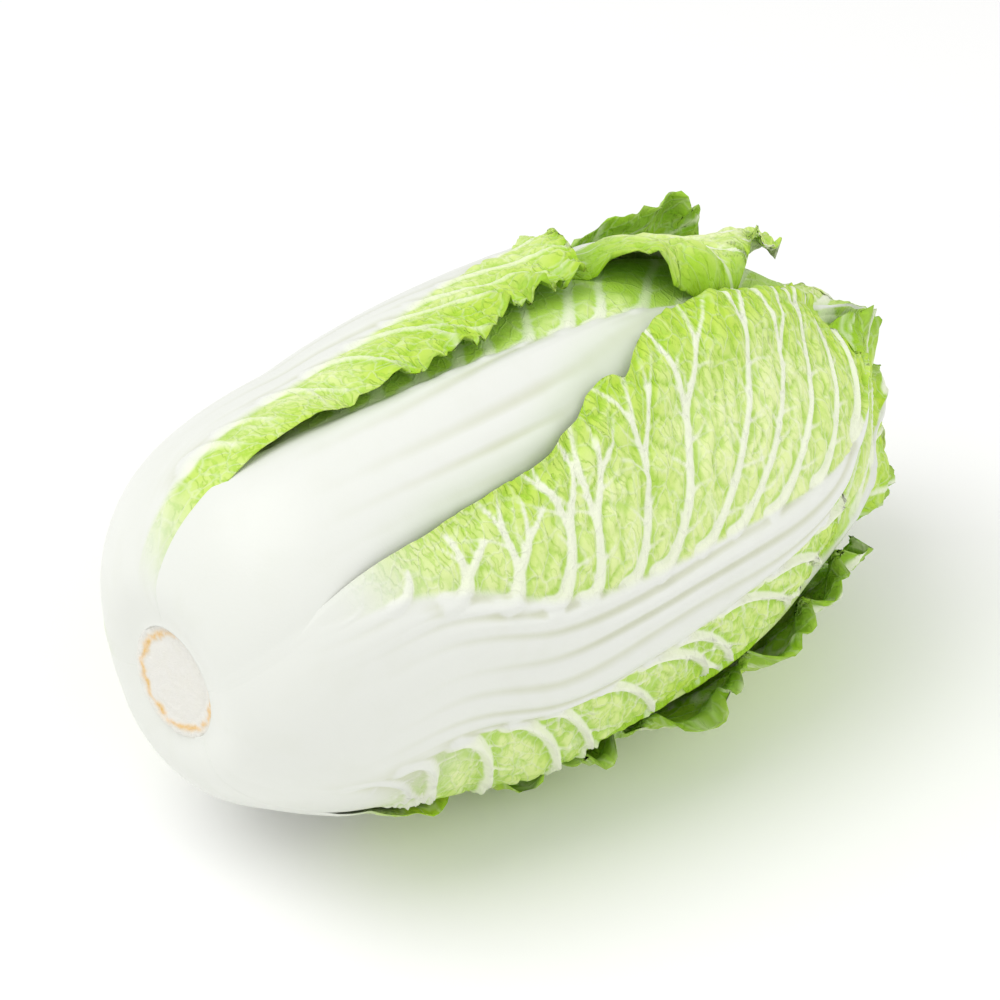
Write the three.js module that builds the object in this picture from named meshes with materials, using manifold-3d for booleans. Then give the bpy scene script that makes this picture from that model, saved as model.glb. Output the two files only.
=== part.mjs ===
// Napa cabbage: a trimmed head of Chinese cabbage lying on its side, in millimetres, +Z up.
//
// The head's axis runs along +X, from the cut stem at the butt to the open leaf tips. Every surface is
// laid out in head coordinates: sigma, the distance from the stem along the profile of the dense heart;
// phi, the angle round the axis, with 0 on top and 90 towards -Y; and height, the distance out from the
// heart. Leaves are wrapped one after another. Each rests on the envelope of all that lie under it, so
// no leaf cuts another. The head is heavy, so its underside is pressed flat where it lies.
import * as THREE from "three";
import { mergeVertices } from "three/addons/utils/BufferGeometryUtils.js";
import Module from "manifold-3d";

const wasm = await Module();
wasm.setup();

// ---- Driving dimensions -------------------------------------------------------------------------

const STEM_RADIUS = 18.4; // the cut stem
const STEM_GAP = 0.4; // clearance between the stem and the leaves and heart round it
const STEM_DEPTH = 4.5; // the cut lies this deep between the round shoulders of the leaf bases
const STEM_TILT = { up: 0.086, front: 0.098 }; // slopes of the cut, which turn it upwards and to -Y
const STEM_EDGE = 1.5; // the bevel round the cut
const STEM_SIDES = 24;

const HEART_START = 21.8; // depth of the leaf bases: from the head's end to the heart
const HEART_HALF_LENGTH = 133;
const HEART_RADIUS = 61.5;
const BUTT_POWER = 3.6; // superellipse powers: blunt shoulders at the butt, a rounder dome at the tips
const TIP_POWER = 2.04;
const TAPER = 0.08; // the tip half is this much wider than the butt half
const REST_X = 136; // distance from the head's end to the point under its weight
const AXIS_HEIGHT = 79; // the axis above the surface that the head lies on
const REST_SNAP = 1.4; // what comes closer to that surface than this lies on it

const STACK = 18.5; // height of the outermost leaves above the heart's profile
const TIP_STACK = 3; // and at the tip, before the leaf tops lift
const HEART_DIP = 20; // the heart gives way by this much at most under the leaf tips
const HEART_BASE = 4; // the most that it fills at the stem
const HEART_LEAST = 0.5; // the least that it fills before the tips
const HEART_SMOOTHING = 16;
const HEART_ROWS = 22;
const HEART_COLUMNS = 28;
const FLANK = 6; // the butt end is this much slimmer low down at the front
const FLANK_PHI = 148;

const GAP = 1.25; // between a leaf and what lies under it
const BLADE_THICKNESS = 1.3;
const CROWN_POWER = 2.4; // a midrib's cross section: 2 is a parabola, more is flatter on top
const TIP_THINNING = 0.28; // share of its thickness that a midrib keeps at the tip of its leaf
const RIDGE_HEIGHT = 0.9; // the long ridges of a midrib
const VEIN_HEIGHT = 0.9; // a side vein above its blade
const TOOTH = 0.06; // the margins' teeth, as a share of a leaf's half width
const TOOTH_TURN = 2.4; // radians of a tooth's wave from one row to the next
const BASE_LOBE = 4; // depth of the seams between the leaf bases
const BASE_HIDDEN = 13; // height that a leaf base keeps to where a later leaf covers it

const LEAF_ROWS = 27;
const ROW_CROWDING = 1.12; // above 1 the rows crowd towards the base, where a leaf bends most
const MIDRIB_CELLS = 6;
const BLADE_CELLS = 4;
const COVER_ROWS = 190; // steps with which a leaf's cover is marked on the envelope's grid
const COVER_COLUMNS = 130;

const TIP_ROOT = 100; // the inner leaf tops come out of the heart this far from its tip
const TIP_ROWS = 10;
const TIP_COLUMNS = 8;
const TIP_COVER = 90; // steps with which a top's cover is marked
const TIP_THICKNESS = 1.5;
const TIP_MIDRIB = 3;
const TIP_SUNK = 3; // depth of a root in what lies under it
// A top's waves: radians of the wave along it and across it, and the least share of the lift.
const TIP_RUFFLE = { along: 13, across: 5, least: 0.35 };

// ---- Small maths --------------------------------------------------------------------------------

const radians = (degrees) => (degrees * Math.PI) / 180;
const clamp = (x, low = 0, high = 1) => Math.min(high, Math.max(low, x));
const mix = (a, b, t) => a + (b - a) * t;

function smoothstep(low, high, x) {
  const t = clamp((x - low) / (high - low));
  return t * t * (3 - 2 * t);
}

// A smooth curve through equally spaced values, read at t from 0 to 1.
function throughStations(values, t) {
  const last = values.length - 1;
  const at = clamp(t) * last;
  const i = Math.min(Math.floor(at), last - 1);
  const f = at - i;
  const value = (k) => values[clamp(k, 0, last)];
  const [a, b, c, d] = [value(i - 1), value(i), value(i + 1), value(i + 2)];
  return b + 0.5 * f * (c - a + f * (2 * a - 5 * b + 4 * c - d + f * (3 * (b - c) + d - a)));
}

// ---- The heart's profile, as a table of points at equal steps of sigma ---------------------------

const PROFILE_STEP = 1;
const NORMAL_BLEND = 26; // over this length from the stem the offset turns from -X to the true normal

function makeProfile() {
  const fine = [];
  const samples = 6000;
  for (let i = 0; i <= samples; i++) {
    const theta = (Math.PI * i) / samples;
    const power = 2 / (theta < Math.PI / 2 ? BUTT_POWER : TIP_POWER);
    const along = -Math.sign(Math.cos(theta)) * Math.abs(Math.cos(theta)) ** power;
    const radius = HEART_RADIUS * Math.abs(Math.sin(theta)) ** power * (1 + TAPER * along);
    if (along < 0 && radius < STEM_RADIUS + STEM_GAP) continue;
    fine.push([HEART_HALF_LENGTH * along, Math.max(radius, 0)]);
  }
  const shift = HEART_START - fine[0][0];
  const table = [];
  let travelled = 0;
  for (let i = 0; i + 1 < fine.length; i++) {
    const [x0, r0] = fine[i];
    const [x1, r1] = fine[i + 1];
    const step = Math.hypot(x1 - x0, r1 - r0);
    while (table.length * PROFILE_STEP <= travelled + step) {
      const f = (table.length * PROFILE_STEP - travelled) / step;
      table.push({ x: mix(x0, x1, f) + shift, r: mix(r0, r1, f) });
    }
    travelled += step;
  }
  table.forEach((point, i) => {
    const before = table[Math.max(i - 2, 0)];
    const after = table[Math.min(i + 2, table.length - 1)];
    const length = Math.hypot(after.x - before.x, after.r - before.r);
    const keep = smoothstep(0, NORMAL_BLEND, i * PROFILE_STEP);
    const nx = -(after.r - before.r) / length;
    const nr = ((after.x - before.x) / length) * keep;
    point.nx = nx / Math.hypot(nx, nr);
    point.nr = nr / Math.hypot(nx, nr);
  });
  return table;
}

const PROFILE = makeProfile();
const SIGMA_END = (PROFILE.length - 1) * PROFILE_STEP;

function profileAt(sigma) {
  const at = clamp(sigma, 0, SIGMA_END - 1e-6) / PROFILE_STEP;
  const i = Math.floor(at);
  const [a, b] = [PROFILE[i], PROFILE[i + 1]];
  const blend = (key) => mix(a[key], b[key], at - i);
  return { x: blend("x"), r: blend("r"), nx: blend("nx"), nr: blend("nr") };
}

// ---- The envelope: how far out everything wrapped so far reaches, on a grid of sigma and phi ------

const GRID_SIGMA = 104;
const GRID_PHI = 180;
const CELL_SIGMA = SIGMA_END / (GRID_SIGMA - 1);
const CELL_PHI = 360 / GRID_PHI;
const REACH = 7.5; // a leaf bridges what is under it over this distance
const TUCK = 17; // a leaf base keeps its full height this far under the leaves over it
const CLEAR_REACH = 5.5; // a leaf lifts only this far away from the leaves that lie over it
const BASE_REACH = 0.5; // and over this share of it at the stem
const BASE_REACH_END = 70;
const COLUMN_MARGIN = 10; // added to the radius, so that a window stays narrow near the axis

const gridIndex = (i, j) => clamp(i, 0, GRID_SIGMA - 1) * GRID_PHI + ((j % GRID_PHI) + GRID_PHI) % GRID_PHI;

function readGrid(grid, sigma, phi) {
  const a = clamp(sigma, 0, SIGMA_END) / CELL_SIGMA;
  const b = phi / CELL_PHI;
  const [i, j] = [Math.floor(a), Math.floor(b)];
  const row = (k) => mix(grid[gridIndex(k, j)], grid[gridIndex(k, j + 1)], b - j);
  return mix(row(i), row(i + 1), a - i);
}

// All of the last row is one point, the pole.
function levelPole(grid) {
  const pole = grid.subarray((GRID_SIGMA - 1) * GRID_PHI);
  pole.fill(Math.max(...pole));
}

// Runs a filter over a window of the grid, first along sigma and then round phi.
function filterGrid(grid, reach, combine) {
  const along = new Float64Array(grid.length);
  const both = new Float64Array(grid.length);
  const narrowed = (i) => reach * mix(BASE_REACH, 1, smoothstep(0, BASE_REACH_END, i * CELL_SIGMA));
  for (let i = 0; i < GRID_SIGMA; i++) {
    const rows = Math.max(1, Math.round(narrowed(i) / CELL_SIGMA));
    for (let j = 0; j < GRID_PHI; j++) {
      const window = [];
      for (let k = -rows; k <= rows; k++) window.push(grid[gridIndex(i + k, j)]);
      along[gridIndex(i, j)] = combine(window);
    }
  }
  for (let i = 0; i < GRID_SIGMA; i++) {
    const cell = radians(CELL_PHI) * (profileAt(i * CELL_SIGMA).r + COLUMN_MARGIN);
    const columns = clamp(Math.round(narrowed(i) / cell), 1, GRID_PHI / 4);
    for (let j = 0; j < GRID_PHI; j++) {
      const window = [];
      for (let k = -columns; k <= columns; k++) window.push(along[gridIndex(i, j + k)]);
      both[gridIndex(i, j)] = combine(window);
    }
  }
  return both;
}

const highest = (window) => Math.max(...window);
const lowest = (window) => Math.min(...window);
const average = (window) => window.reduce((sum, value) => sum + value, 0) / window.length;

// A smooth sheet that lies on the envelope and nowhere under it.
function sheetOver(grid) {
  const raised = filterGrid(grid, REACH, highest);
  return filterGrid(filterGrid(raised, REACH / 2, average), REACH / 2, average);
}

// ---- Leaves -------------------------------------------------------------------------------------
//
// Each leaf is a row of stations from its base to its tip. A station gives the middle of the midrib as
// sigma and phi, the midrib's half widths to the left and right in degrees, then sigma and phi of the
// left margin and of the right one. Left is towards lower phi. From the share "from" of its length on,
// a leaf's margins stand off what lies under them by "left" and "right" at the tip end.

const LEAVES = [
  {
    name: "leaf_top",
    midrib: 8.5,
    shoulder: 1,
    ruffle: 5,
    waves: 5,
    lift: { from: 0.6, left: 2, right: 2 },
    stations: [
      [0, 16, 26, 46, 0, -12, 0, 68],
      [30, 20, 27, 29, 30, -28, 28, 68],
      [60, 23, 21, 22, 62, -32, 60, 68],
      [95, 25, 17, 18, 100, -38, 95, 72],
      [130, 25, 13.5, 14, 140, -44, 128, 76],
      [165, 24, 9, 9, 180, -48, 165, 78],
      [200, 22, 6, 6, 218, -48, 202, 74],
      [235, 20, 4, 4, 250, -42, 238, 66],
      [265, 20, 2.5, 2.5, 277, -30, 270, 56],
      [292, 20, 1.5, 1.5, 297, -8, 295, 46],
    ],
  },
  {
    name: "leaf_front_inner",
    midrib: 5,
    shoulder: 0,
    ruffle: 4,
    waves: 6,
    lift: { from: 0.5, left: 4, right: 4 },
    stations: [
      [0, 140, 10, 10, 0, 122, 0, 158],
      [30, 139, 14, 14, 30, 114, 30, 164],
      [70, 135, 13, 13, 72, 100, 70, 172],
      [110, 130, 11, 11, 115, 88, 112, 178],
      [150, 124, 9, 9, 160, 74, 155, 180],
      [190, 116, 7, 7, 202, 60, 198, 176],
      [225, 108, 5, 5, 240, 44, 235, 166],
      [255, 98, 3, 3, 272, 28, 262, 148],
      [277, 86, 2, 2, 292, 30, 282, 124],
      [296, 72, 1.2, 1.2, 300, 50, 298, 94],
    ],
  },
  {
    name: "leaf_back_inner",
    midrib: 4,
    shoulder: 0,
    ruffle: 4,
    waves: 5,
    lift: { from: 0.45, left: 8, right: 15 },
    stations: [
      [0, -48, 10, 10, 0, -64, 0, -34],
      [30, -48, 12, 12, 30, -66, 30, -31],
      [70, -46, 12, 12, 72, -70, 70, -27],
      [110, -42, 10, 10, 115, -78, 108, -24],
      [145, -38, 8, 8, 155, -86, 140, -21],
      [175, -36, 6, 6, 192, -88, 165, -15],
      [203, -32, 4, 4, 224, -80, 183, 6],
      [228, -27, 3, 3, 248, -66, 205, 18],
      [250, -20, 2, 2, 264, -46, 226, 15],
      [266, -14, 1.2, 1.2, 272, -28, 248, 6],
    ],
  },
  {
    name: "leaf_back_low",
    midrib: 6,
    shoulder: 0,
    ruffle: 7,
    waves: 6,
    lift: { from: 0.5, left: 5, right: 14 },
    stations: [
      [0, -104, 12, 12, 0, -124, 0, -84],
      [30, -106, 15, 15, 30, -134, 30, -80],
      [70, -106, 14, 14, 72, -144, 70, -76],
      [110, -104, 12, 12, 115, -152, 112, -72],
      [150, -100, 10, 10, 158, -156, 152, -68],
      [185, -95, 8, 8, 196, -154, 190, -60],
      [214, -88, 6, 6, 228, -146, 218, -46],
      [238, -80, 4, 4, 252, -130, 238, -36],
      [258, -70, 2.5, 2.5, 270, -106, 254, -34],
      [276, -58, 1.5, 1.5, 284, -80, 266, -42],
    ],
  },
  {
    name: "leaf_back_outer",
    midrib: 5.2,
    shoulder: 2.5,
    ruffle: 4,
    waves: 6,
    lift: { from: 0.5, left: 3, right: 3 },
    stations: [
      [0, -61, 33, 33, 0, -100, 0, -20],
      [28, -54, 36, 38, 28, -100, 28, -12],
      [56, -49, 28, 30, 58, -104, 58, -9],
      [84, -46, 23, 27, 88, -110, 84, -5],
      [110, -43, 19, 24, 116, -114, 108, -2],
      [134, -41, 15, 20, 142, -112, 130, -1],
      [155, -40, 11, 14, 166, -102, 149, -2],
      [172, -40, 7, 8, 186, -86, 164, 0],
      [187, -42, 5, 5, 198, -72, 175, -5],
      [199, -46, 3, 3, 205, -62, 188, -20],
    ],
  },
  {
    name: "leaf_front_outer",
    midrib: 6.5,
    shoulder: -0.5,
    ruffle: 3,
    waves: 7,
    lift: { from: 0.4, left: 2, right: 2 },
    stations: [
      [0, 94, 16, 42, 0, 76, 0, 138],
      [30, 86, 34, 28, 32, 47, 24, 142],
      [60, 81, 23, 21, 72, 41, 62, 130],
      [95, 87, 16, 16, 112, 38, 98, 134],
      [130, 86.5, 12, 11.5, 148, 25, 126, 116],
      [165, 83.5, 9.5, 9.5, 188, 18, 160, 109],
      [195, 81, 7, 7.5, 222, 16, 190, 104],
      [219, 77, 4.5, 5, 245, 13, 211, 94],
      [238, 68, 3, 3, 260, 20, 232, 80],
      [257, 50, 1.5, 1.5, 268, 34, 252, 62],
    ],
  },
  {
    name: "leaf_under",
    midrib: 6.5,
    shoulder: 1.5,
    ruffle: 4,
    waves: 8,
    lift: { from: 0.3, left: 1, right: 3 },
    stations: [
      [0, 198, 44, 44, 0, 146, 0, 246],
      [30, 197, 34, 34, 30, 152, 30, 249],
      [60, 195, 27, 27, 62, 154, 60, 252],
      [95, 193, 21, 21, 98, 150, 95, 258],
      [130, 191, 16, 16, 134, 132, 130, 260],
      [165, 190, 11, 11, 176, 115, 168, 260],
      [198, 190, 8, 8, 212, 102, 204, 256],
      [224, 190, 5, 5, 236, 108, 234, 246],
      [246, 190, 3, 3, 256, 132, 256, 230],
      [264, 190, 1.5, 1.5, 270, 162, 270, 210],
    ],
  },
];

// What a leaf is at u, from base to tip, and v, from -1 at the left margin to 1 at the right one.
function leafPoint(leaf, u, v) {
  const read = (column) => throughStations(leaf.stations.map((station) => station[column]), u);
  const side = v < 0 ? 4 : 6;
  const share = Math.abs(v);
  const [sigma, phi] = [read(0), read(1)];
  const [marginSigma, marginPhi] = [read(side), read(side + 1)];
  return {
    sigma: mix(sigma, marginSigma, share),
    phi: mix(phi, marginPhi, share),
    midribShare: read(v < 0 ? 2 : 3) / Math.abs(marginPhi - phi),
  };
}

// Visits the cells of the envelope's grid that a leaf covers.
function coverCells(leaf, visit) {
  for (let i = 0; i <= COVER_ROWS; i++)
    for (let j = 0; j <= COVER_COLUMNS; j++) {
      const [u, v] = [i / COVER_ROWS, ((2 * j) / COVER_COLUMNS - 1) * (1 + TOOTH)];
      const point = leafPoint(leaf, u, v);
      visit(gridIndex(Math.round(point.sigma / CELL_SIGMA), Math.round(point.phi / CELL_PHI)), point, u, v);
    }
}

// Where a leaf is free to lift and wave, well clear of the leaves that lie over it, and where it is
// bare, up to a little way under their margins.
function uncoveredOf(index) {
  const uncovered = new Float64Array(GRID_SIGMA * GRID_PHI).fill(1);
  LEAVES.slice(index + 1).forEach((leaf) => coverCells(leaf, (cell) => (uncovered[cell] = 0)));
  return {
    free: filterGrid(filterGrid(uncovered, CLEAR_REACH, lowest), CLEAR_REACH, average),
    bare: filterGrid(filterGrid(uncovered, TUCK, highest), CLEAR_REACH, average),
  };
}

// 1 on the middle of a midrib, 0 at its edges and over the blades.
const crownOf = (v, midribShare) => Math.max(0, 1 - (Math.abs(v) / midribShare) ** CROWN_POWER);

// The cross section of a leaf: a thick midrib, crescent shaped, between thin blades.
function leafThickness(leaf, u, v, midribShare) {
  const taper = mix(1, TIP_THINNING, smoothstep(0.25, 0.95, u));
  return BLADE_THICKNESS + leaf.midrib * taper * crownOf(v, midribShare);
}

const EDGE_BEND = 1.6; // the higher, the nearer to its margin a leaf bends up
const TIP_BEND = 0.6; // share of the lift that the middle of a tip has
const LIFT_LENGTH = 0.35; // share of a leaf's length over which its lift sets in
const TIP_WAVES = 1.1; // waves from the middle to each side along the edge of a tip

// How far a leaf's margins and tip stand off what lies under them, with the waves of its edge.
function leafRise(leaf, u, v, free) {
  const tip = smoothstep(0.7, 1, u);
  const bend = Math.max(Math.abs(v) ** EDGE_BEND, TIP_BEND * tip);
  const along = smoothstep(leaf.lift.from, leaf.lift.from + LIFT_LENGTH, u);
  const stand = mix(leaf.lift.left, leaf.lift.right, (v + 1) / 2) * along * bend;
  const phase = 2 * Math.PI * (leaf.waves * u + TIP_WAVES * v * tip) + leaf.midrib;
  const edge = smoothstep(0.15, 0.4, u) * Math.max(smoothstep(0.45, 1, Math.abs(v)), tip);
  return free * (stand + leaf.ruffle * edge * (0.5 + 0.5 * Math.sin(phase)));
}

// ---- From head coordinates to the part's frame ---------------------------------------------------

function inSpace(sigma, phi, height) {
  const { x, r, nx, nr } = profileAt(sigma);
  const radius = r + nr * height;
  return new THREE.Vector3(
    x + nx * height - REST_X,
    -radius * Math.sin(radians(phi)),
    AXIS_HEIGHT + radius * Math.cos(radians(phi)),
  );
}

// The head's weight presses its underside flat: each point moves up by as much as the outermost
// surface over it would reach under the ground, so all the layers move together.
function pressed(envelope, sigma, phi, height) {
  const point = inSpace(sigma, phi, height);
  const outermost = inSpace(sigma, phi, Math.max(readGrid(envelope, sigma, phi), 0));
  point.z += Math.max(0, -outermost.z);
  if (point.z < REST_SNAP) point.z = 0;
  return point;
}

// ---- Solids -------------------------------------------------------------------------------------

function closedGeometry(points, faces) {
  const geometry = new THREE.BufferGeometry();
  geometry.setAttribute("position", new THREE.Float32BufferAttribute(points.flatMap((p) => p.toArray()), 3));
  geometry.setIndex(faces);
  geometry.computeVertexNormals();
  return geometry;
}

// A closed shell between an outer and an inner grid of points, with (rows + 1) x (columns + 1) points each.
function shellGeometry(outer, inner, rows, columns) {
  const at = (i, j) => i * (columns + 1) + j;
  const offset = outer.length;
  const faces = [];
  const quad = (a, b, c, d) => faces.push(a, b, c, a, c, d);
  for (let i = 0; i < rows; i++)
    for (let j = 0; j < columns; j++) {
      quad(at(i, j), at(i, j + 1), at(i + 1, j + 1), at(i + 1, j));
      quad(offset + at(i, j), offset + at(i + 1, j), offset + at(i + 1, j + 1), offset + at(i, j + 1));
    }
  for (let i = 0; i < rows; i++) {
    quad(at(i, 0), at(i + 1, 0), offset + at(i + 1, 0), offset + at(i, 0));
    quad(at(i + 1, columns), at(i, columns), offset + at(i, columns), offset + at(i + 1, columns));
  }
  for (let j = 0; j < columns; j++) {
    quad(at(0, j + 1), at(0, j), offset + at(0, j), offset + at(0, j + 1));
    quad(at(rows, j), at(rows, j + 1), offset + at(rows, j + 1), offset + at(rows, j));
  }
  return closedGeometry([...outer, ...inner], faces);
}

// The column positions across a leaf at one row: an even fan over the midrib, then the blades.
function leafColumns(leaf, u, row) {
  const left = leafPoint(leaf, u, -1e-9).midribShare;
  const right = leafPoint(leaf, u, 1e-9).midribShare;
  const tooth = (seed) => 1 + TOOTH * Math.sin(TOOTH_TURN * row + seed) * smoothstep(0.1, 0.3, u);
  const columns = [];
  for (let k = 0; k < BLADE_CELLS; k++) columns.push(-mix(tooth(leaf.midrib), left, k / BLADE_CELLS));
  for (let k = 0; k <= MIDRIB_CELLS; k++) columns.push(mix(-left, right, k / MIDRIB_CELLS));
  for (let k = 1; k <= BLADE_CELLS; k++) columns.push(mix(right, tooth(leaf.ruffle), k / BLADE_CELLS));
  return columns;
}

// How much slimmer the butt end is at this place.
function flankOf(sigma, phi) {
  const facing = Math.max(0, Math.cos(radians(phi - FLANK_PHI)));
  return FLANK * facing ** 3 * smoothstep(3, 30, sigma) * (1 - smoothstep(60, 140, sigma));
}

// The outer surfaces of the leaf bases come up to the cut face, round lobes with seams between them.
function flushHeight(leaf, { sigma, phi }, bare, crown) {
  const lobe = BASE_LOBE * (1 - crown) * smoothstep(3, 25, sigma);
  const dish = (STEM_DEPTH + leaf.shoulder) * (1 - smoothstep(0, 14, sigma));
  return mix(BASE_HIDDEN, HEART_START + leaf.shoulder, bare) - lobe - dish - flankOf(sigma, phi);
}

// Wraps one leaf round what the envelope holds, adds it to the envelope and returns its rows of points.
function wrapLeaf(leaf, { free, bare }, envelope) {
  const sheet = sheetOver(envelope);
  const heights = (u, v, point = leafPoint(leaf, u, v)) => {
    const open = readGrid(free, point.sigma, point.phi);
    const inner = readGrid(sheet, point.sigma, point.phi) + GAP + leafRise(leaf, u, v, open);
    const natural = inner + leafThickness(leaf, u, v, point.midribShare);
    const seen = readGrid(bare, point.sigma, point.phi);
    const flush = flushHeight(leaf, point, seen, crownOf(v, point.midribShare));
    const outer = Math.max(natural, mix(flush, natural, smoothstep(20, 90, point.sigma)));
    return { ...point, inner, outer };
  };
  coverCells(leaf, (cell, point, u, v) => {
    const relief = VEIN_HEIGHT * smoothstep(0.1, 0.3, u);
    envelope[cell] = Math.max(envelope[cell], heights(u, v, point).outer + relief);
  });
  levelPole(envelope);
  const rows = [];
  const columns = MIDRIB_CELLS + 2 * BLADE_CELLS;
  for (let i = 0; i <= LEAF_ROWS; i++) {
    const u = (i / LEAF_ROWS) ** ROW_CROWDING;
    const grows = smoothstep(0.1, 0.3, u);
    rows.push(
      leafColumns(leaf, u, i).map((v, j) => {
        const made = heights(u, v);
        const inMidrib = Math.abs(v) < made.midribShare * 0.99;
        if (inMidrib) made.outer += (j % 2 ? RIDGE_HEIGHT : 0) * grows * smoothstep(1, 0.7, u);
        else if (j % columns) made.outer += (i % 2 ? VEIN_HEIGHT : 0) * grows;
        return made;
      }),
    );
  }
  return rows;
}

function leafGeometry(rows, envelope) {
  const columns = rows[0].length - 1;
  const place = (key) => rows.flat().map((made) => pressed(envelope, made.sigma, made.phi, made[key]));
  return shellGeometry(place("outer"), place("inner"), rows.length - 1, columns);
}

// ---- The parts ----------------------------------------------------------------------------------

const FINISH = {
  stem: new THREE.MeshStandardMaterial({ color: 0xf0ead8, roughness: 0.7, metalness: 0 }),
  heart: new THREE.MeshStandardMaterial({ color: 0xe3ecb0, roughness: 0.5, metalness: 0 }),
  leaf: new THREE.MeshStandardMaterial({ color: 0xcfe39a, roughness: 0.45, metalness: 0 }),
};

// The stem. Its cut slants, so that the face is turned a little up and towards -Y.
function stemMesh() {
  const profile = [
    [0, STEM_DEPTH],
    [STEM_RADIUS - STEM_EDGE, STEM_DEPTH],
    [STEM_RADIUS, STEM_DEPTH + STEM_EDGE],
    [STEM_RADIUS, HEART_START - STEM_GAP],
    [0, HEART_START - STEM_GAP],
  ].map(([r, x]) => new THREE.Vector2(r, x));
  const geometry = new THREE.LatheGeometry(profile, STEM_SIDES);
  geometry.rotateZ(-Math.PI / 2);
  const position = geometry.getAttribute("position");
  for (let i = 0; i < position.count; i++) {
    const [x, y, z] = [position.getX(i), position.getY(i), position.getZ(i)];
    if (x < HEART_START / 2) position.setX(i, x + STEM_TILT.up * z - STEM_TILT.front * y);
  }
  const mesh = new THREE.Mesh(geometry, FINISH.stem);
  mesh.name = "stem";
  mesh.position.set(-REST_X, 0, AXIS_HEIGHT);
  return mesh;
}

// The heart fills what the leaves leave of the head's roundness, and gives way under the crowded tips.
// It is found from a trial in which no leaf stands free of the ones under it.
function fillHeart() {
  const trial = new Float64Array(GRID_SIGMA * GRID_PHI);
  const held = trial.slice();
  TIP_LEAVES.forEach((leaf, index) => wrapTip(leaf, index, trial, held));
  LEAVES.forEach((leaf) => wrapLeaf(leaf, { free: held, bare: held }, trial));
  const sigmaOf = (cell) => Math.floor(cell / GRID_PHI) * CELL_SIGMA;
  const lacking = trial.map((height, cell) => {
    const [sigma, phi] = [sigmaOf(cell), (cell % GRID_PHI) * CELL_PHI];
    return mix(STACK, TIP_STACK, smoothstep(180, 300, sigma)) - flankOf(sigma, phi) - height;
  });
  const smooth = filterGrid(filterGrid(lacking, HEART_SMOOTHING, average), HEART_SMOOTHING, average);
  const filled = smooth.map((height, cell) => {
    const most = mix(HEART_BASE, STACK, smoothstep(0, 50, sigmaOf(cell)));
    const least = mix(HEART_LEAST, -HEART_DIP, smoothstep(140, 240, sigmaOf(cell)));
    return clamp(height, least, most);
  });
  levelPole(filled);
  return filled;
}

function heartCore(core, envelope) {
  const rows = [];
  for (let i = 0; i < HEART_ROWS; i++) {
    const sigma = (SIGMA_END * i) / HEART_ROWS;
    const row = [];
    for (let j = 0; j < HEART_COLUMNS; j++) {
      const phi = (360 * j) / HEART_COLUMNS;
      row.push(pressed(envelope, sigma, phi, readGrid(core, sigma, phi)));
    }
    rows.push(row);
  }
  const points = rows.flat();
  const at = (i, j) => i * HEART_COLUMNS + (j % HEART_COLUMNS);
  const faces = [];
  for (let i = 0; i + 1 < HEART_ROWS; i++)
    for (let j = 0; j < HEART_COLUMNS; j++) {
      faces.push(at(i, j), at(i, j + 1), at(i + 1, j + 1), at(i, j), at(i + 1, j + 1), at(i + 1, j));
    }
  const collar = points.length;
  for (let j = 0; j < HEART_COLUMNS; j++) points.push(inSpace(0, (360 * j) / HEART_COLUMNS, 0));
  const butt = points.push(inSpace(0, 0, 0).setY(0).setZ(AXIS_HEIGHT)) - 1;
  const tip = points.push(pressed(envelope, SIGMA_END, 0, readGrid(core, SIGMA_END, 0))) - 1;
  for (let j = 0; j < HEART_COLUMNS; j++) {
    const next = (j + 1) % HEART_COLUMNS;
    faces.push(butt, collar + next, collar + j);
    faces.push(collar + j, collar + next, at(0, next), collar + j, at(0, next), at(0, j));
    faces.push(tip, at(HEART_ROWS - 1, j), at(HEART_ROWS - 1, j + 1));
  }
  return closedGeometry(points, faces);
}

// The tops of the inner leaves, from the innermost out. Each comes out of the heart on the side that
// "turn" gives, is "width" mm wide each way and ends "past" mm beyond the pole, or short of it.
const TIP_LEAVES = [
  { turn: 250, width: 40, past: 10, lift: 7 },
  { turn: 95, width: 42, past: 3, lift: 9 },
  { turn: 320, width: 46, past: -5, lift: 8 },
  { turn: 195, width: 48, past: -10, lift: 11 },
  { turn: 255, width: 50, past: -24, lift: 10 },
  { turn: 150, width: 50, past: -28, lift: 10 },
];

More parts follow.
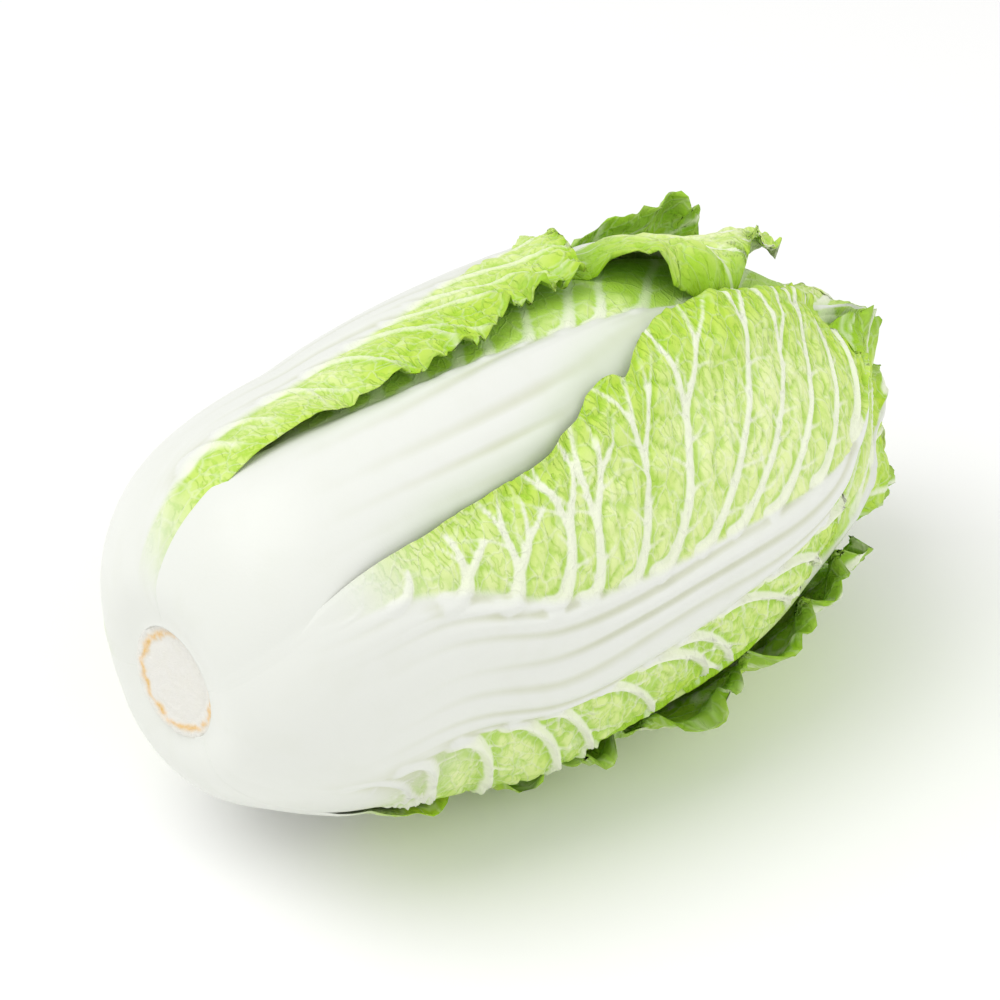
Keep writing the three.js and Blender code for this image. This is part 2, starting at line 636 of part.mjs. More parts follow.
// Wraps one inner leaf top over the heart's tip, in plane coordinates round the pole.
function wrapTip(leaf, index, envelope, free) {
  const sheet = sheetOver(envelope);
  const turn = radians(leaf.turn);
  const heights = (t, v) => {
    const along = mix(TIP_ROOT, -leaf.past, t);
    const rounding = Math.sqrt(1 - 0.9 * smoothstep(0.45, 1, t) ** 2);
    const across = leaf.width * mix(0.6, 1, smoothstep(0, 0.5, t)) * rounding * v;
    const [p, q] = [
      along * Math.cos(turn) - across * Math.sin(turn),
      along * Math.sin(turn) + across * Math.cos(turn),
    ];
    const sigma = Math.max(0, SIGMA_END - Math.hypot(p, q));
    const phi = (Math.atan2(q, p) * 180) / Math.PI;
    const edge = Math.max(smoothstep(0.4, 1, Math.abs(v)), smoothstep(0.6, 1, t)) * smoothstep(0.25, 0.6, t);
    const wave = 0.5 + 0.5 * Math.sin(TIP_RUFFLE.along * t + TIP_RUFFLE.across * v + index);
    const rise = readGrid(free, sigma, phi) * edge * leaf.lift * mix(TIP_RUFFLE.least, 1, wave);
    const above = readGrid(sheet, sigma, phi) + GAP + rise;
    const inner = mix(readGrid(envelope, sigma, phi) - TIP_SUNK, above, smoothstep(0.1, 0.4, t));
    const midrib = TIP_MIDRIB * Math.max(0, 1 - (3 * v) ** 2) * (1 - t);
    return { sigma, phi, inner, outer: inner + TIP_THICKNESS + midrib };
  };
  const rows = [];
  for (let i = 0; i <= TIP_ROWS; i++) {
    const row = [];
    for (let j = 0; j <= TIP_COLUMNS; j++) row.push(heights(i / TIP_ROWS, (2 * j) / TIP_COLUMNS - 1));
    rows.push(row);
  }
  const raised = envelope.slice();
  for (let i = 0; i <= TIP_COVER; i++)
    for (let j = 0; j <= TIP_COVER; j++) {
      const made = heights(i / TIP_COVER, (2 * j) / TIP_COVER - 1);
      const cell = gridIndex(Math.round(made.sigma / CELL_SIGMA), Math.round(made.phi / CELL_PHI));
      raised[cell] = Math.max(raised[cell], made.outer);
    }
  levelPole(raised);
  envelope.set(raised);
  return rows;
}

function solidOf(geometry) {
  const bare = new THREE.BufferGeometry();
  bare.setAttribute("position", geometry.getAttribute("position"));
  bare.setIndex(geometry.index);
  const merged = mergeVertices(bare, 1e-4);
  const vertProperties = merged.attributes.position.array;
  return new wasm.Manifold(
    new wasm.Mesh({ numProp: 3, vertProperties, triVerts: new Uint32Array(merged.index.array) }),
  );
}

function geometryOf(solid) {
  const mesh = solid.getMesh();
  const geometry = new THREE.BufferGeometry();
  geometry.setAttribute("position", new THREE.BufferAttribute(mesh.vertProperties, 3));
  geometry.setIndex(new THREE.BufferAttribute(mesh.triVerts, 1));
  geometry.computeVertexNormals();
  return geometry;
}

// ---- The head -----------------------------------------------------------------------------------

const group = new THREE.Group();
group.add(stemMesh());
const core = fillHeart();
const envelope = core.slice();
const { free } = uncoveredOf(-1);
const tips = TIP_LEAVES.map((leaf, index) => wrapTip(leaf, index, envelope, free));
const wrapped = LEAVES.map((leaf, index) => wrapLeaf(leaf, uncoveredOf(index), envelope));
const heartSolid = tips.reduce(
  (solid, rows) => solid.add(solidOf(leafGeometry(rows, envelope))),
  solidOf(heartCore(core, envelope)),
);
const heart = new THREE.Mesh(geometryOf(heartSolid), FINISH.heart);
heart.name = "heart";
group.add(heart);
wrapped.forEach((rows, k) => {
  const mesh = new THREE.Mesh(leafGeometry(rows, envelope), FINISH.leaf);
  mesh.name = LEAVES[k].name;
  group.add(mesh);
});

export default group;
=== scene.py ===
"""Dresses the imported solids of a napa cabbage, a trimmed head that lies on its side.

The leaves are wrapped round a dense heart one after another, each over the envelope of all that lie
under it. Surfaces are laid out in head coordinates: sigma, the distance from the stem along the
profile of the heart; phi, the angle round the axis, 0 on top and 90 towards -Y; and height, the
distance out from the heart. Lengths are in millimetres and angles in degrees until a mesh is made.
"""

import logging
import math
from dataclasses import dataclass
from enum import Enum
from typing import Any, Sequence

import bpy
import numpy as np
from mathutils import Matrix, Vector


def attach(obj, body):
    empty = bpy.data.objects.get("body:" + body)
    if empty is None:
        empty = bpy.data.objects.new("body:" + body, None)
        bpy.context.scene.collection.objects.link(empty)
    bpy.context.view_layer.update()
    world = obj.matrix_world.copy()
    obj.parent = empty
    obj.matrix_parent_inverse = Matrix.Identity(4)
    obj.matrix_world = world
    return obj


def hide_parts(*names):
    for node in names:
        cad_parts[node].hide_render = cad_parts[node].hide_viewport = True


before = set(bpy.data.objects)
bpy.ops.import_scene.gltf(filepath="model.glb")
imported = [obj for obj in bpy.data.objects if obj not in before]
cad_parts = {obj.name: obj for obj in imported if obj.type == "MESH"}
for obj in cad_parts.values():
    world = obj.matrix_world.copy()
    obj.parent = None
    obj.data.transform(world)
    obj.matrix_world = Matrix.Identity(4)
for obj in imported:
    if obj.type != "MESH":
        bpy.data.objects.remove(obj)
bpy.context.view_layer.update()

LOG = logging.getLogger("napa_cabbage")
METRES = 0.001
SHORTEST = 1e-9
Array = np.ndarray
Number = float | Array
Pair = tuple[float, float]
Triple = tuple[float, float, float]


# ---- Small maths ----


def mix(a: Number, b: Number, t: Number) -> Number:
    """Returns the value at share t of the way from a to b."""
    return a + (b - a) * t


def smoothstep(low: float, high: float, x: Number) -> Number:
    """Returns 0 below low, 1 above high and a smooth step between them."""
    t = np.clip((x - low) / (high - low), 0, 1)
    return t * t * (3 - 2 * t)


def through_stations(values: Sequence[float], t: Number) -> Array:
    """Reads a smooth curve through equally spaced values.

    Args:
        values: what the curve passes through.
        t: where to read it, from 0 to 1.

    Returns:
        The curve's value at each t.
    """
    table = np.asarray(values, float)
    last = len(table) - 1
    at = np.clip(t, 0, 1) * last
    i = np.minimum(np.floor(at).astype(int), last - 1)
    f = at - i
    a, b, c, d = (table[np.clip(i + k, 0, last)] for k in (-1, 0, 1, 2))
    return b + 0.5 * f * (c - a + f * (2 * a - 5 * b + 4 * c - d + f * (3 * (b - c) + d - a)))


def blurred(grid: Array, reach: int, times: int = 2) -> Array:
    """Averages a grid over a moving window.

    Args:
        grid: the values.
        reach: how many cells the window takes in to each side.
        times: how often the whole grid is averaged.

    Returns:
        The blurred grid.
    """
    for _ in range(times):
        for axis in (0, 1):
            pad = [(0, 0), (0, 0)]
            pad[axis] = (reach + 1, reach)
            total = np.cumsum(np.pad(grid, pad, mode="edge"), axis=axis)
            size = 2 * reach + 1
            count = grid.shape[axis]
            high = np.take(total, np.arange(size, size + count), axis=axis)
            low = np.take(total, np.arange(0, count), axis=axis)
            grid = (high - low) / size
    return grid


def crossed(first: Array, second: Array) -> tuple[Array, Array]:
    """Returns two grids, of first along the rows and of second along the columns."""
    return tuple(np.meshgrid(first, second, indexing="ij"))


def unit(vectors: Array) -> Array:
    """Returns vectors at a length of 1."""
    return vectors / np.maximum(np.linalg.norm(vectors, axis=-1, keepdims=True), SHORTEST)


def outwards(surface: Array) -> Array:
    """Returns the direction out of a surface at each of its points."""
    return unit(np.cross(np.gradient(surface, axis=1), np.gradient(surface, axis=0)))


class Noise:
    """Smooth random values over a plane, the same in every run."""

    SIZE = 256
    LAYER_SHIFT = (17.3, 5.1)

    def __init__(self, seed: int) -> None:
        """Fills the table that the values come from."""
        self.table = np.random.default_rng(seed).uniform(-1, 1, (self.SIZE, self.SIZE))

    def at(self, x: Number, y: Number = 0.0) -> Array:
        """Returns smooth noise from about -1 to 1 at a place, as numbers or grids x and y."""
        x, y = np.broadcast_arrays(np.asarray(x, float), np.asarray(y, float))
        i, j = np.floor(x).astype(int), np.floor(y).astype(int)
        fx, fy = x - i, y - j
        fx, fy = fx * fx * (3 - 2 * fx), fy * fy * (3 - 2 * fy)
        value = lambda a, b: self.table[(i + a) % self.SIZE, (j + b) % self.SIZE]
        return mix(mix(value(0, 0), value(1, 0), fx), mix(value(0, 1), value(1, 1), fx), fy)

    def layered(self, x: Number, y: Number = 0.0, layers: int = 3) -> Array:
        """Returns noise with finer layers on top, each half as high as the one before."""
        total, weight, norm = 0.0, 1.0, 0.0
        shift_x, shift_y = self.LAYER_SHIFT
        for k in range(layers):
            total = total + weight * self.at(x * 2**k + shift_x * k, y * 2**k + shift_y * k)
            norm += weight
            weight /= 2
        return total / norm


# ---- The head's form ----


@dataclass(frozen=True)
class HeadSizes:
    """The driving sizes of the head, which its solids share."""

    stem_radius: float = 18.4
    stem_gap: float = 0.4
    stem_depth: float = 4.5
    stem_tilt_up: float = 0.086
    stem_tilt_front: float = 0.098
    heart_start: float = 21.8
    heart_half_length: float = 133
    heart_radius: float = 61.5
    butt_power: float = 3.6
    tip_power: float = 2.04
    taper: float = 0.08
    rest_x: float = 136
    axis_height: float = 79
    stack: float = 18.5
    tip_stack: float = 3
    heart_dip: float = 20
    heart_base: float = 4
    heart_least: float = 0.5
    heart_smoothing: float = 16
    heart_fills: float = 50
    heart_dips: Pair = (140, 240)
    stack_falls: Pair = (180, 300)
    flank: float = 6
    flank_phi: float = 148
    flank_starts: Pair = (3, 30)
    flank_ends: Pair = (60, 140)
    gap: float = 1.25
    blade: float = 1.3
    crown_power: float = 2.4
    tip_thinning: float = 0.28
    base_lobe: float = 1.8
    shoulder: float = 1.0
    base_hidden: float = 13
    normal_blend: float = 26
    reach: float = 7.5
    tuck: float = 10
    clear_reach: float = 5.5
    open_reach: float = 2.5
    shade_reach: float = 6
    shade_blur: float = 5
    base_reach: float = 0.5
    base_reach_end: float = 70
    column_margin: float = 10


class Profile:
    """The heart's profile as a table of points at equal steps of sigma."""

    STEP = 1.0
    SAMPLES = 6000
    SLOPE_SPAN = 2

    def __init__(self, sizes: HeadSizes) -> None:
        """Measures the profile from the stem to the tip, from the head's sizes."""
        theta = np.linspace(0, math.pi, self.SAMPLES + 1)
        power = 2 / np.where(theta < math.pi / 2, sizes.butt_power, sizes.tip_power)
        along = -np.sign(np.cos(theta)) * np.abs(np.cos(theta)) ** power
        radius = sizes.heart_radius * np.abs(np.sin(theta)) ** power * (1 + sizes.taper * along)
        kept = (along >= 0) | (radius >= sizes.stem_radius + sizes.stem_gap)
        x, r = sizes.heart_half_length * along[kept], np.maximum(radius[kept], 0)
        x = x + sizes.heart_start - x[0]
        travelled = np.concatenate([[0], np.cumsum(np.hypot(np.diff(x), np.diff(r)))])
        count = int(travelled[-1] / self.STEP)
        self.sigma = np.arange(count + 1) * self.STEP
        self.x = np.interp(self.sigma, travelled, x)
        self.r = np.interp(self.sigma, travelled, r)
        before = np.maximum(np.arange(count + 1) - self.SLOPE_SPAN, 0)
        after = np.minimum(np.arange(count + 1) + self.SLOPE_SPAN, count)
        dx, dr = self.x[after] - self.x[before], self.r[after] - self.r[before]
        length = np.hypot(dx, dr)
        nx = -dr / length
        nr = dx / length * smoothstep(0, sizes.normal_blend, self.sigma)
        self.nx, self.nr = nx / np.hypot(nx, nr), nr / np.hypot(nx, nr)
        self.end = float(self.sigma[-1])
        self.sizes = sizes

    def radius(self, sigma: Number) -> Array:
        """Returns the heart's radius at sigma."""
        return np.interp(sigma, self.sigma, self.r)

    def in_space(self, sigma: Number, phi: Number, height: Number) -> Array:
        """Turns head coordinates into points.

        Args:
            sigma, phi: distance from the stem and angle round the axis.
            height: distance out from the heart.

        Returns:
            The points in the part's frame, one along the last axis.
        """
        tables = (self.x, self.r, self.nx, self.nr)
        x, r, nx, nr = (np.interp(sigma, self.sigma, table) for table in tables)
        radius = r + nr * height
        turn = np.radians(phi)
        points = (x + nx * height - self.sizes.rest_x, -radius * np.sin(turn))
        return np.stack([*points, self.sizes.axis_height + radius * np.cos(turn)], axis=-1)


class Combine(Enum):
    """How a filter turns a window of cells into one value."""

    HIGHEST = "highest"
    LOWEST = "lowest"
    AVERAGE = "average"

    def of(self, windows: Array) -> Array:
        """Returns one value for each window along the last axis."""
        choice = {"highest": np.max, "lowest": np.min, "average": np.mean}
        return choice[self.value](windows, axis=-1)


class Wrapping:
    """A grid of heights over sigma and phi: how far out what is wrapped so far reaches."""

    ROWS = 208
    COLUMNS = 360

    def __init__(self, profile: Profile) -> None:
        """Starts with nothing wrapped round the heart, whose profile it keeps."""
        self.profile = profile
        self.sizes = profile.sizes
        self.cell_sigma = profile.end / (self.ROWS - 1)
        self.cell_phi = 360 / self.COLUMNS
        self.sigma = np.arange(self.ROWS) * self.cell_sigma
        self.phi = np.arange(self.COLUMNS) * self.cell_phi
        self.heights = np.zeros((self.ROWS, self.COLUMNS))
        self.smooth = np.zeros((self.ROWS, self.COLUMNS))
        self.sheet = self.smooth

    def cells(self, sigma: Array, phi: Array) -> tuple[Array, Array]:
        """Returns the row and column of the cell nearest to each place."""
        row = np.clip(np.round(sigma / self.cell_sigma).astype(int), 0, self.ROWS - 1)
        return row, np.round(phi / self.cell_phi).astype(int) % self.COLUMNS

    def read(self, grid: Array, sigma: Array, phi: Array) -> Array:
        """Returns a grid's height at sigma and phi, read smoothly between its cells."""
        a, b = np.clip(sigma, 0, self.profile.end) / self.cell_sigma, phi / self.cell_phi
        i, j = np.floor(a).astype(int), np.floor(b).astype(int)
        total = 0.0
        for k, along in enumerate(self.weights(a - i), -1):
            for m, across in enumerate(self.weights(b - j), -1):
                row = np.clip(i + k, 0, self.ROWS - 1)
                total = total + along * across * grid[row, (j + m) % self.COLUMNS]
        return total

    def share(self, grid: Array, sigma: Array, phi: Array) -> Array:
        """Reads a grid whose numbers run from 0 to 1."""
        return np.clip(self.read(grid, sigma, phi), 0, 1)

    @staticmethod
    def weights(f: Array) -> tuple[Array, Array, Array, Array]:
        """Returns the shares of four neighbouring cells in a smooth reading at f between two."""
        cube = f**3
        last = cube / 6
        first = (1 - f) ** 3 / 6
        second = (3 * cube - 6 * f**2 + 4) / 6
        return first, second, 1 - first - second - last, last

    def add(self, sigma: Array, phi: Array, height: Array, smooth: Array) -> None:
        """Wraps one leaf more, of this height and of this height without its relief."""
        cells = self.cells(sigma, phi)
        for grid, highest in ((self.heights, height), (self.smooth, smooth)):
            np.maximum.at(grid, cells, highest)
            self.level_pole(grid)

    def level_pole(self, grid: Array) -> Array:
        """Makes the last row, which is all one point, the same height."""
        grid[-1] = grid[-1].max()
        return grid

    def filtered(self, grid: Array, reach: float, combine: Combine) -> Array:
        """Runs a filter over the grid, first along sigma and then round phi.

        Args:
            grid: the values.
            reach: how far the filter looks to each side, less near the stem.
            combine: what it makes of a window.

        Returns:
            The filtered grid.
        """
        sizes = self.sizes
        windows_of = np.lib.stride_tricks.sliding_window_view
        narrowed = reach * mix(sizes.base_reach, 1, smoothstep(0, sizes.base_reach_end, self.sigma))
        counts = np.maximum(1, np.round(narrowed / self.cell_sigma)).astype(int)
        along = np.empty_like(grid)
        for count in np.unique(counts):
            padded = np.pad(grid, ((count, count), (0, 0)), mode="edge")
            rows = counts == count
            along[rows] = combine.of(windows_of(padded, 2 * count + 1, axis=0)[rows])
        both = np.empty_like(grid)
        cell = math.radians(self.cell_phi) * (self.profile.radius(self.sigma) + sizes.column_margin)
        columns = np.clip(np.round(narrowed / cell), 1, self.COLUMNS // 4).astype(int)
        for i, count in enumerate(columns):
            padded = np.pad(along[i], count, mode="wrap")
            both[i] = combine.of(windows_of(padded, 2 * count + 1))
        return both

    def softened(self, plain: Array, narrowed: float, blur: float) -> Array:
        """Returns a grid of 0 and 1 with its ones narrowed and their border blurred."""
        return self.filtered(self.filtered(plain, narrowed, Combine.LOWEST), blur, Combine.AVERAGE)

    def lay_sheet(self) -> None:
        """Lays a smooth sheet over what is wrapped so far, on the envelope and nowhere under it."""
        raised = self.filtered(self.heights, self.sizes.reach, Combine.HIGHEST)
        half = self.sizes.reach / 2
        for _ in range(2):
            raised = self.filtered(raised, half, Combine.AVERAGE)
        self.sheet = raised

    def pressed(self, sigma: Array, phi: Array, height: Array) -> Array:
        """Places points, moved up together wherever the head's weight presses its underside flat.

        Args:
            sigma, phi: distance from the stem and angle round the axis.
            height: distance out from the heart.

        Returns:
            The points in the part's frame.
        """
        points = self.profile.in_space(sigma, phi, height)
        outermost = np.maximum(self.read(self.heights, sigma, phi), 0)
        depth = -self.profile.in_space(sigma, phi, outermost)[..., 2]
        points[..., 2] += np.maximum(0, depth)
        return points


@dataclass(frozen=True)
class Grids:
    """What the leaves wrapped later allow a leaf, as grids of numbers from 0 to 1.

    It is free to lift and wave, its base is bare, its surface is open to view, and it is lit where no
    later leaf shades it.
    """

    free: Array
    bare: Array
    open: Array
    lit: Array


# ---- Leaves ----


@dataclass(frozen=True)
class LeafForm:
    """One wrapper leaf. Lengths are in mm, and shares run from 0 to 1.

    Attributes:
        shoulder: how far the midrib stands out round the cut.
        lift: where along the leaf its margins start to stand off, and how far left and right.
        stations: from the base to the tip, sigma and phi of the midrib's middle, the midrib's half
            widths to the left and right in degrees, and sigma and phi of the left and right margin.
        greening: between which sigmas the white base turns green.
        ridges: spacing and height of the midrib's long ridges.
        hook, fluted: how much more the side veins on the right bend and stand out.
        veined, ribbed: how white the side veins are, and the midrib below its top.
        bold: how far the frills keep their height close to other leaves.
        pleats: a and b of each pleat's two ends, its height and its width.
        notches: side, place along, depth and width of each notch in the margin.
    """

    name: str
    midrib: float
    shoulder: float
    ruffle: float
    waves: float
    lift: Triple
    stations: tuple[tuple[float, ...], ...]
    rows: int = 220
    columns: int = 180
    frill: float = 2.5
    curl: float = 0.0
    green: float = 0.35
    greening: Pair = (36, 92)
    pucker: float = 1.6
    ridges: Pair = (8.0, 0.8)
    hook: float = 0.0
    fluted: float = 0.0
    veined: float = 1.0
    bold: float = 0.0
    ribbed: float = 1.0
    scallops: float = 0.0
    seed: int = 1
    pleats: tuple[tuple[float, ...], ...] = ()
    notches: tuple[tuple[float, float, float, float], ...] = ()


LEAVES = (
    LeafForm(
        name="leaf_top", midrib=8.5, shoulder=1, ruffle=5, waves=5, lift=(0.6, 2, 2),
        rows=236, columns=190, frill=2.2, green=0.3, greening=(24, 70), ridges=(11, 1.2), seed=11,
        stations=(
            (0, 16, 26, 46, 0, -24, 0, 76), (30, 20, 29, 29, 30, -32, 28, 72),
            (60, 23, 26, 22, 62, -34, 60, 68), (95, 25, 22, 18, 100, -38, 95, 72),
            (130, 25, 17.5, 14, 140, -44, 128, 76), (165, 24, 12, 9, 180, -48, 165, 78),
            (200, 22, 6, 6, 218, -48, 202, 74), (235, 20, 4, 4, 250, -42, 238, 66),
            (265, 20, 2.5, 2.5, 277, -30, 270, 56), (292, 20, 1.5, 1.5, 297, -8, 295, 46),
        ),
    ),
    LeafForm(
        name="leaf_front_inner", midrib=5, shoulder=0, ruffle=4, waves=6, lift=(0.5, 4, 4),
        rows=190, columns=130, frill=5.0, green=0.95, veined=0.6, ribbed=0.12, seed=23,
        stations=(
            (0, 140, 10, 10, 0, 122, 0, 158), (30, 139, 9, 9, 30, 114, 30, 164),
            (70, 135, 6, 6, 72, 100, 70, 172), (110, 130, 4, 4, 115, 88, 112, 178),
            (150, 124, 2, 2, 160, 74, 155, 180), (190, 116, 1.4, 1.4, 202, 60, 198, 176),
            (225, 108, 1.8, 1.8, 240, 44, 235, 166), (255, 98, 1.4, 1.4, 272, 28, 262, 148),
            (277, 86, 2, 2, 292, 30, 282, 124), (296, 72, 1.2, 1.2, 300, 50, 298, 94),
        ),
    ),
    LeafForm(
        name="leaf_back_inner", midrib=4, shoulder=0, ruffle=4, waves=5, lift=(0.45, 6, 7),
        rows=200, columns=166, frill=6.2, green=0.42, pucker=2.2, bold=0.8, seed=37,
        stations=(
            (0, -48, 10, 10, 0, -64, 0, -34), (30, -48, 12, 12, 30, -66, 30, -31),
            (70, -46, 12, 12, 72, -70, 70, -27), (110, -42, 10, 10, 115, -78, 108, -24),
            (145, -38, 8, 8, 155, -86, 140, -21), (175, -36, 6, 6, 192, -88, 165, -15),
            (203, -32, 4, 4, 224, -80, 183, 6), (228, -27, 3, 3, 248, -66, 205, 18),
            (250, -20, 2, 2, 264, -46, 226, 15), (266, -14, 1.2, 1.2, 272, -28, 248, 6),
        ),
    ),
    LeafForm(
        name="leaf_back_low", midrib=6, shoulder=0, ruffle=6, waves=3.8, lift=(0.5, 5, 14),
        rows=190, columns=160, frill=4.2, green=0.95, veined=0.6, seed=41,
        stations=(
            (0, -104, 12, 12, 0, -124, 0, -84), (30, -106, 15, 15, 30, -134, 30, -80),
            (70, -106, 14, 14, 72, -144, 70, -76), (110, -104, 12, 12, 115, -152, 112, -72),
            (150, -100, 10, 10, 158, -156, 152, -68), (185, -95, 8, 8, 196, -154, 190, -60),
            (214, -88, 6, 6, 228, -146, 218, -46), (238, -80, 4, 4, 252, -130, 238, -36),
            (258, -70, 2.5, 2.5, 270, -106, 254, -34), (276, -58, 1.5, 1.5, 284, -80, 266, -42),
        ),
    ),
    LeafForm(
        name="leaf_back_outer", midrib=5.2, shoulder=2.5, ruffle=2, waves=6, lift=(0.55, 4, 1),
        rows=250, columns=208, frill=6.0, green=0.6, curl=2.5, greening=(2, 34), veined=0.42, seed=53,
        stations=(
            (0, -61, 33, 33, 0, -112, 0, -12), (28, -54, 36, 36, 28, -106, 28, -2),
            (56, -49, 28, 29, 58, -104, 58, 0), (84, -46, 23, 24, 88, -110, 84, 2),
            (110, -43, 19, 19, 116, -114, 108, 3), (134, -41, 15, 13, 142, -112, 130, 2),
            (155, -40, 11, 9, 166, -102, 149, -1), (172, -40, 7, 8, 186, -86, 164, 0),
            (187, -42, 5, 5, 198, -72, 175, -5), (199, -46, 3, 3, 205, -62, 188, -20),
        ),
    ),
    LeafForm(
        name="leaf_front_outer", midrib=6.5, shoulder=-0.5, ruffle=0.8, waves=7, lift=(0.55, 0.3, 1),
        rows=300, columns=256, frill=1.7, green=0.5, greening=(24, 74), ridges=(7.5, 1.9),
        hook=1.0, fluted=1.3, pucker=1.5, scallops=3.6, seed=67,
        pleats=((140, -42, 124, -72, 3.5, -7),), notches=((-1, 117, 0.1, 5),),
        stations=(
            (0, 94, 20, 42, 0, 68, 0, 146), (30, 86, 34, 28, 32, 47, 24, 144),
            (60, 81, 23, 21, 72, 41, 62, 136), (95, 87, 16, 16, 112, 38, 98, 138),
            (130, 86.5, 12, 11.5, 148, 25, 126, 127), (165, 83.5, 9.5, 9.5, 188, 18, 160, 120),
            (195, 81, 7, 7.5, 222, 16, 190, 113), (219, 77, 4.5, 5, 245, 13, 211, 101),
            (238, 68, 3, 3, 260, 20, 232, 80), (257, 50, 1.5, 1.5, 268, 34, 252, 62),
        ),
    ),
    LeafForm(
        name="leaf_under", midrib=6.5, shoulder=1.5, ruffle=1.5, waves=8, lift=(0.3, 0.5, 3),
        rows=256, columns=220, frill=7.5, green=0.95, greening=(24, 70), seed=79,
        stations=(
            (0, 198, 44, 44, 0, 138, 0, 256), (30, 197, 34, 34, 30, 138, 30, 260),
            (60, 195, 27, 27, 62, 139, 60, 260), (95, 193, 21, 21, 98, 139, 95, 262),
            (130, 191, 16, 16, 134, 129, 130, 262), (165, 190, 11, 11, 176, 120, 168, 262),
            (198, 190, 8, 8, 212, 111, 204, 256), (224, 190, 5, 5, 236, 110, 234, 246),
            (246, 190, 3, 3, 256, 132, 256, 230), (264, 190, 1.5, 1.5, 270, 162, 270, 210),
        ),
    ),
)


class Chart:
    """A leaf laid flat: a runs along the head and b across it from the midrib, both in mm."""

    SAMPLES = 240
    LIFT = 12.0

    def __init__(self, form: LeafForm, profile: Profile) -> None:
        """Measures the midrib and the margins of a leaf of this form in the flat."""
        self.profile = profile
        self.u = np.linspace(0, 1, self.SAMPLES)
        column = [through_stations([s[k] for s in form.stations], self.u) for k in range(8)]
        self.middle_a, self.middle_phi = column[0], column[1]
        radius = np.radians(profile.radius(column[0]) + self.LIFT)
        self.width = {-1: column[2] * radius, 1: column[3] * radius}
        self.margin_a = {-1: column[4], 1: column[6]}
        self.margin_b = {-1: self.across(*column[4:6]), 1: self.across(*column[6:8])}

    def across(self, sigma: Array, phi: Array) -> Array:
        """Returns b of each place."""
        middle = np.interp(sigma, self.middle_a, self.middle_phi)
        return np.radians(phi - middle) * (self.profile.radius(sigma) + self.LIFT)

    def half_midrib(self, a: float, side: int) -> float:
        """Returns the midrib's half width at a."""
        return float(np.interp(a, self.middle_a, self.width[side]))

    def half_leaf(self, a: float, side: int) -> float:
        """Returns the distance from the midrib's middle to the margin at a."""
        return float(abs(np.interp(a, self.margin_a[side], self.margin_b[side])))

    def half_blade(self, u: Array, side: int) -> Array:
        """Returns the same distance by the share of the leaf's length."""
        return np.interp(u, self.u, np.abs(self.margin_b[side]))


@dataclass(frozen=True)
class VeinHabit:
    """How the side veins grow: in mm, in degrees off the midrib's run, or in shares of 1.

    A vein starts deep in the midrib as a broad strand, leaves the midrib, bends to its own angle,
    may fork, carries twigs on both sides and thins out towards the margin. Pairs are ranges.
    """

    first_at: float = 30.0
    first_spread: float = 8.0
    last_before_tip: float = 4.0
    tip_spacing: float = 1.9
    tip_spacing_from: float = 0.35
    uneven: Pair = (0.7, 1.3)

    width: Pair = (2.8, 2.1)
    width_spread: Pair = (0.75, 1.15)
    room: Pair = (-4.0, 16.0)
    root: float = 0.93
    strand_width: float = 5.5
    strand_over: float = 1.6
    strand_height: float = 0.75

    leaving: Pair = (62.0, 20.0)
    leaving_run: Pair = (0.15, 0.95)
    leaving_spread: float = 6.0
    leaving_hook: float = 24.0
    arriving: Pair = (92.0, 50.0)
    arriving_run: Pair = (0.3, 1.0)
    arriving_spread: float = 10.0
    arriving_hook: float = 18.0
    least_room: float = 8.0
    least_angle: float = 35.0
    spare_length: float = 1.1
    past_margin: float = 1.04

    bend_length: float = 11.0
    wander: float = 9.0
    wander_length: float = 16.0
    thinned: float = 0.42
    flare: float = 1.3
    flare_length: float = 7.0
    height: Pair = (0.4, 0.6)

    forks: int = 2
    forks_until: float = 0.55
    fork_at: Pair = (0.38, 0.62)
    fork_least: float = 12.0
    fork_angle: Pair = (16.0, 30.0)
    fork_other: float = 0.8
    fork_soft: float = 0.4
    fork_width: float = 0.85

    twig_first: Pair = (5.0, 9.0)
    twig_gap: Pair = (4.5, 9.5)
    twig_parent: float = 0.7
    twig_angle: Pair = (38.0, 62.0)
    twig_length: Pair = (8.0, 20.0)
    twig_width: float = 0.55
    twig_widest: float = 0.85
    twig_bend: float = 3.0
    twig_thinned: float = 0.6
    twig_height: float = 0.75
    twig_white: float = 0.75


@dataclass
class VeinPoint:
    """A place on a vein, with its width and its height above the blade."""

    a: float
    b: float
    width: float
    height: float
    white: float


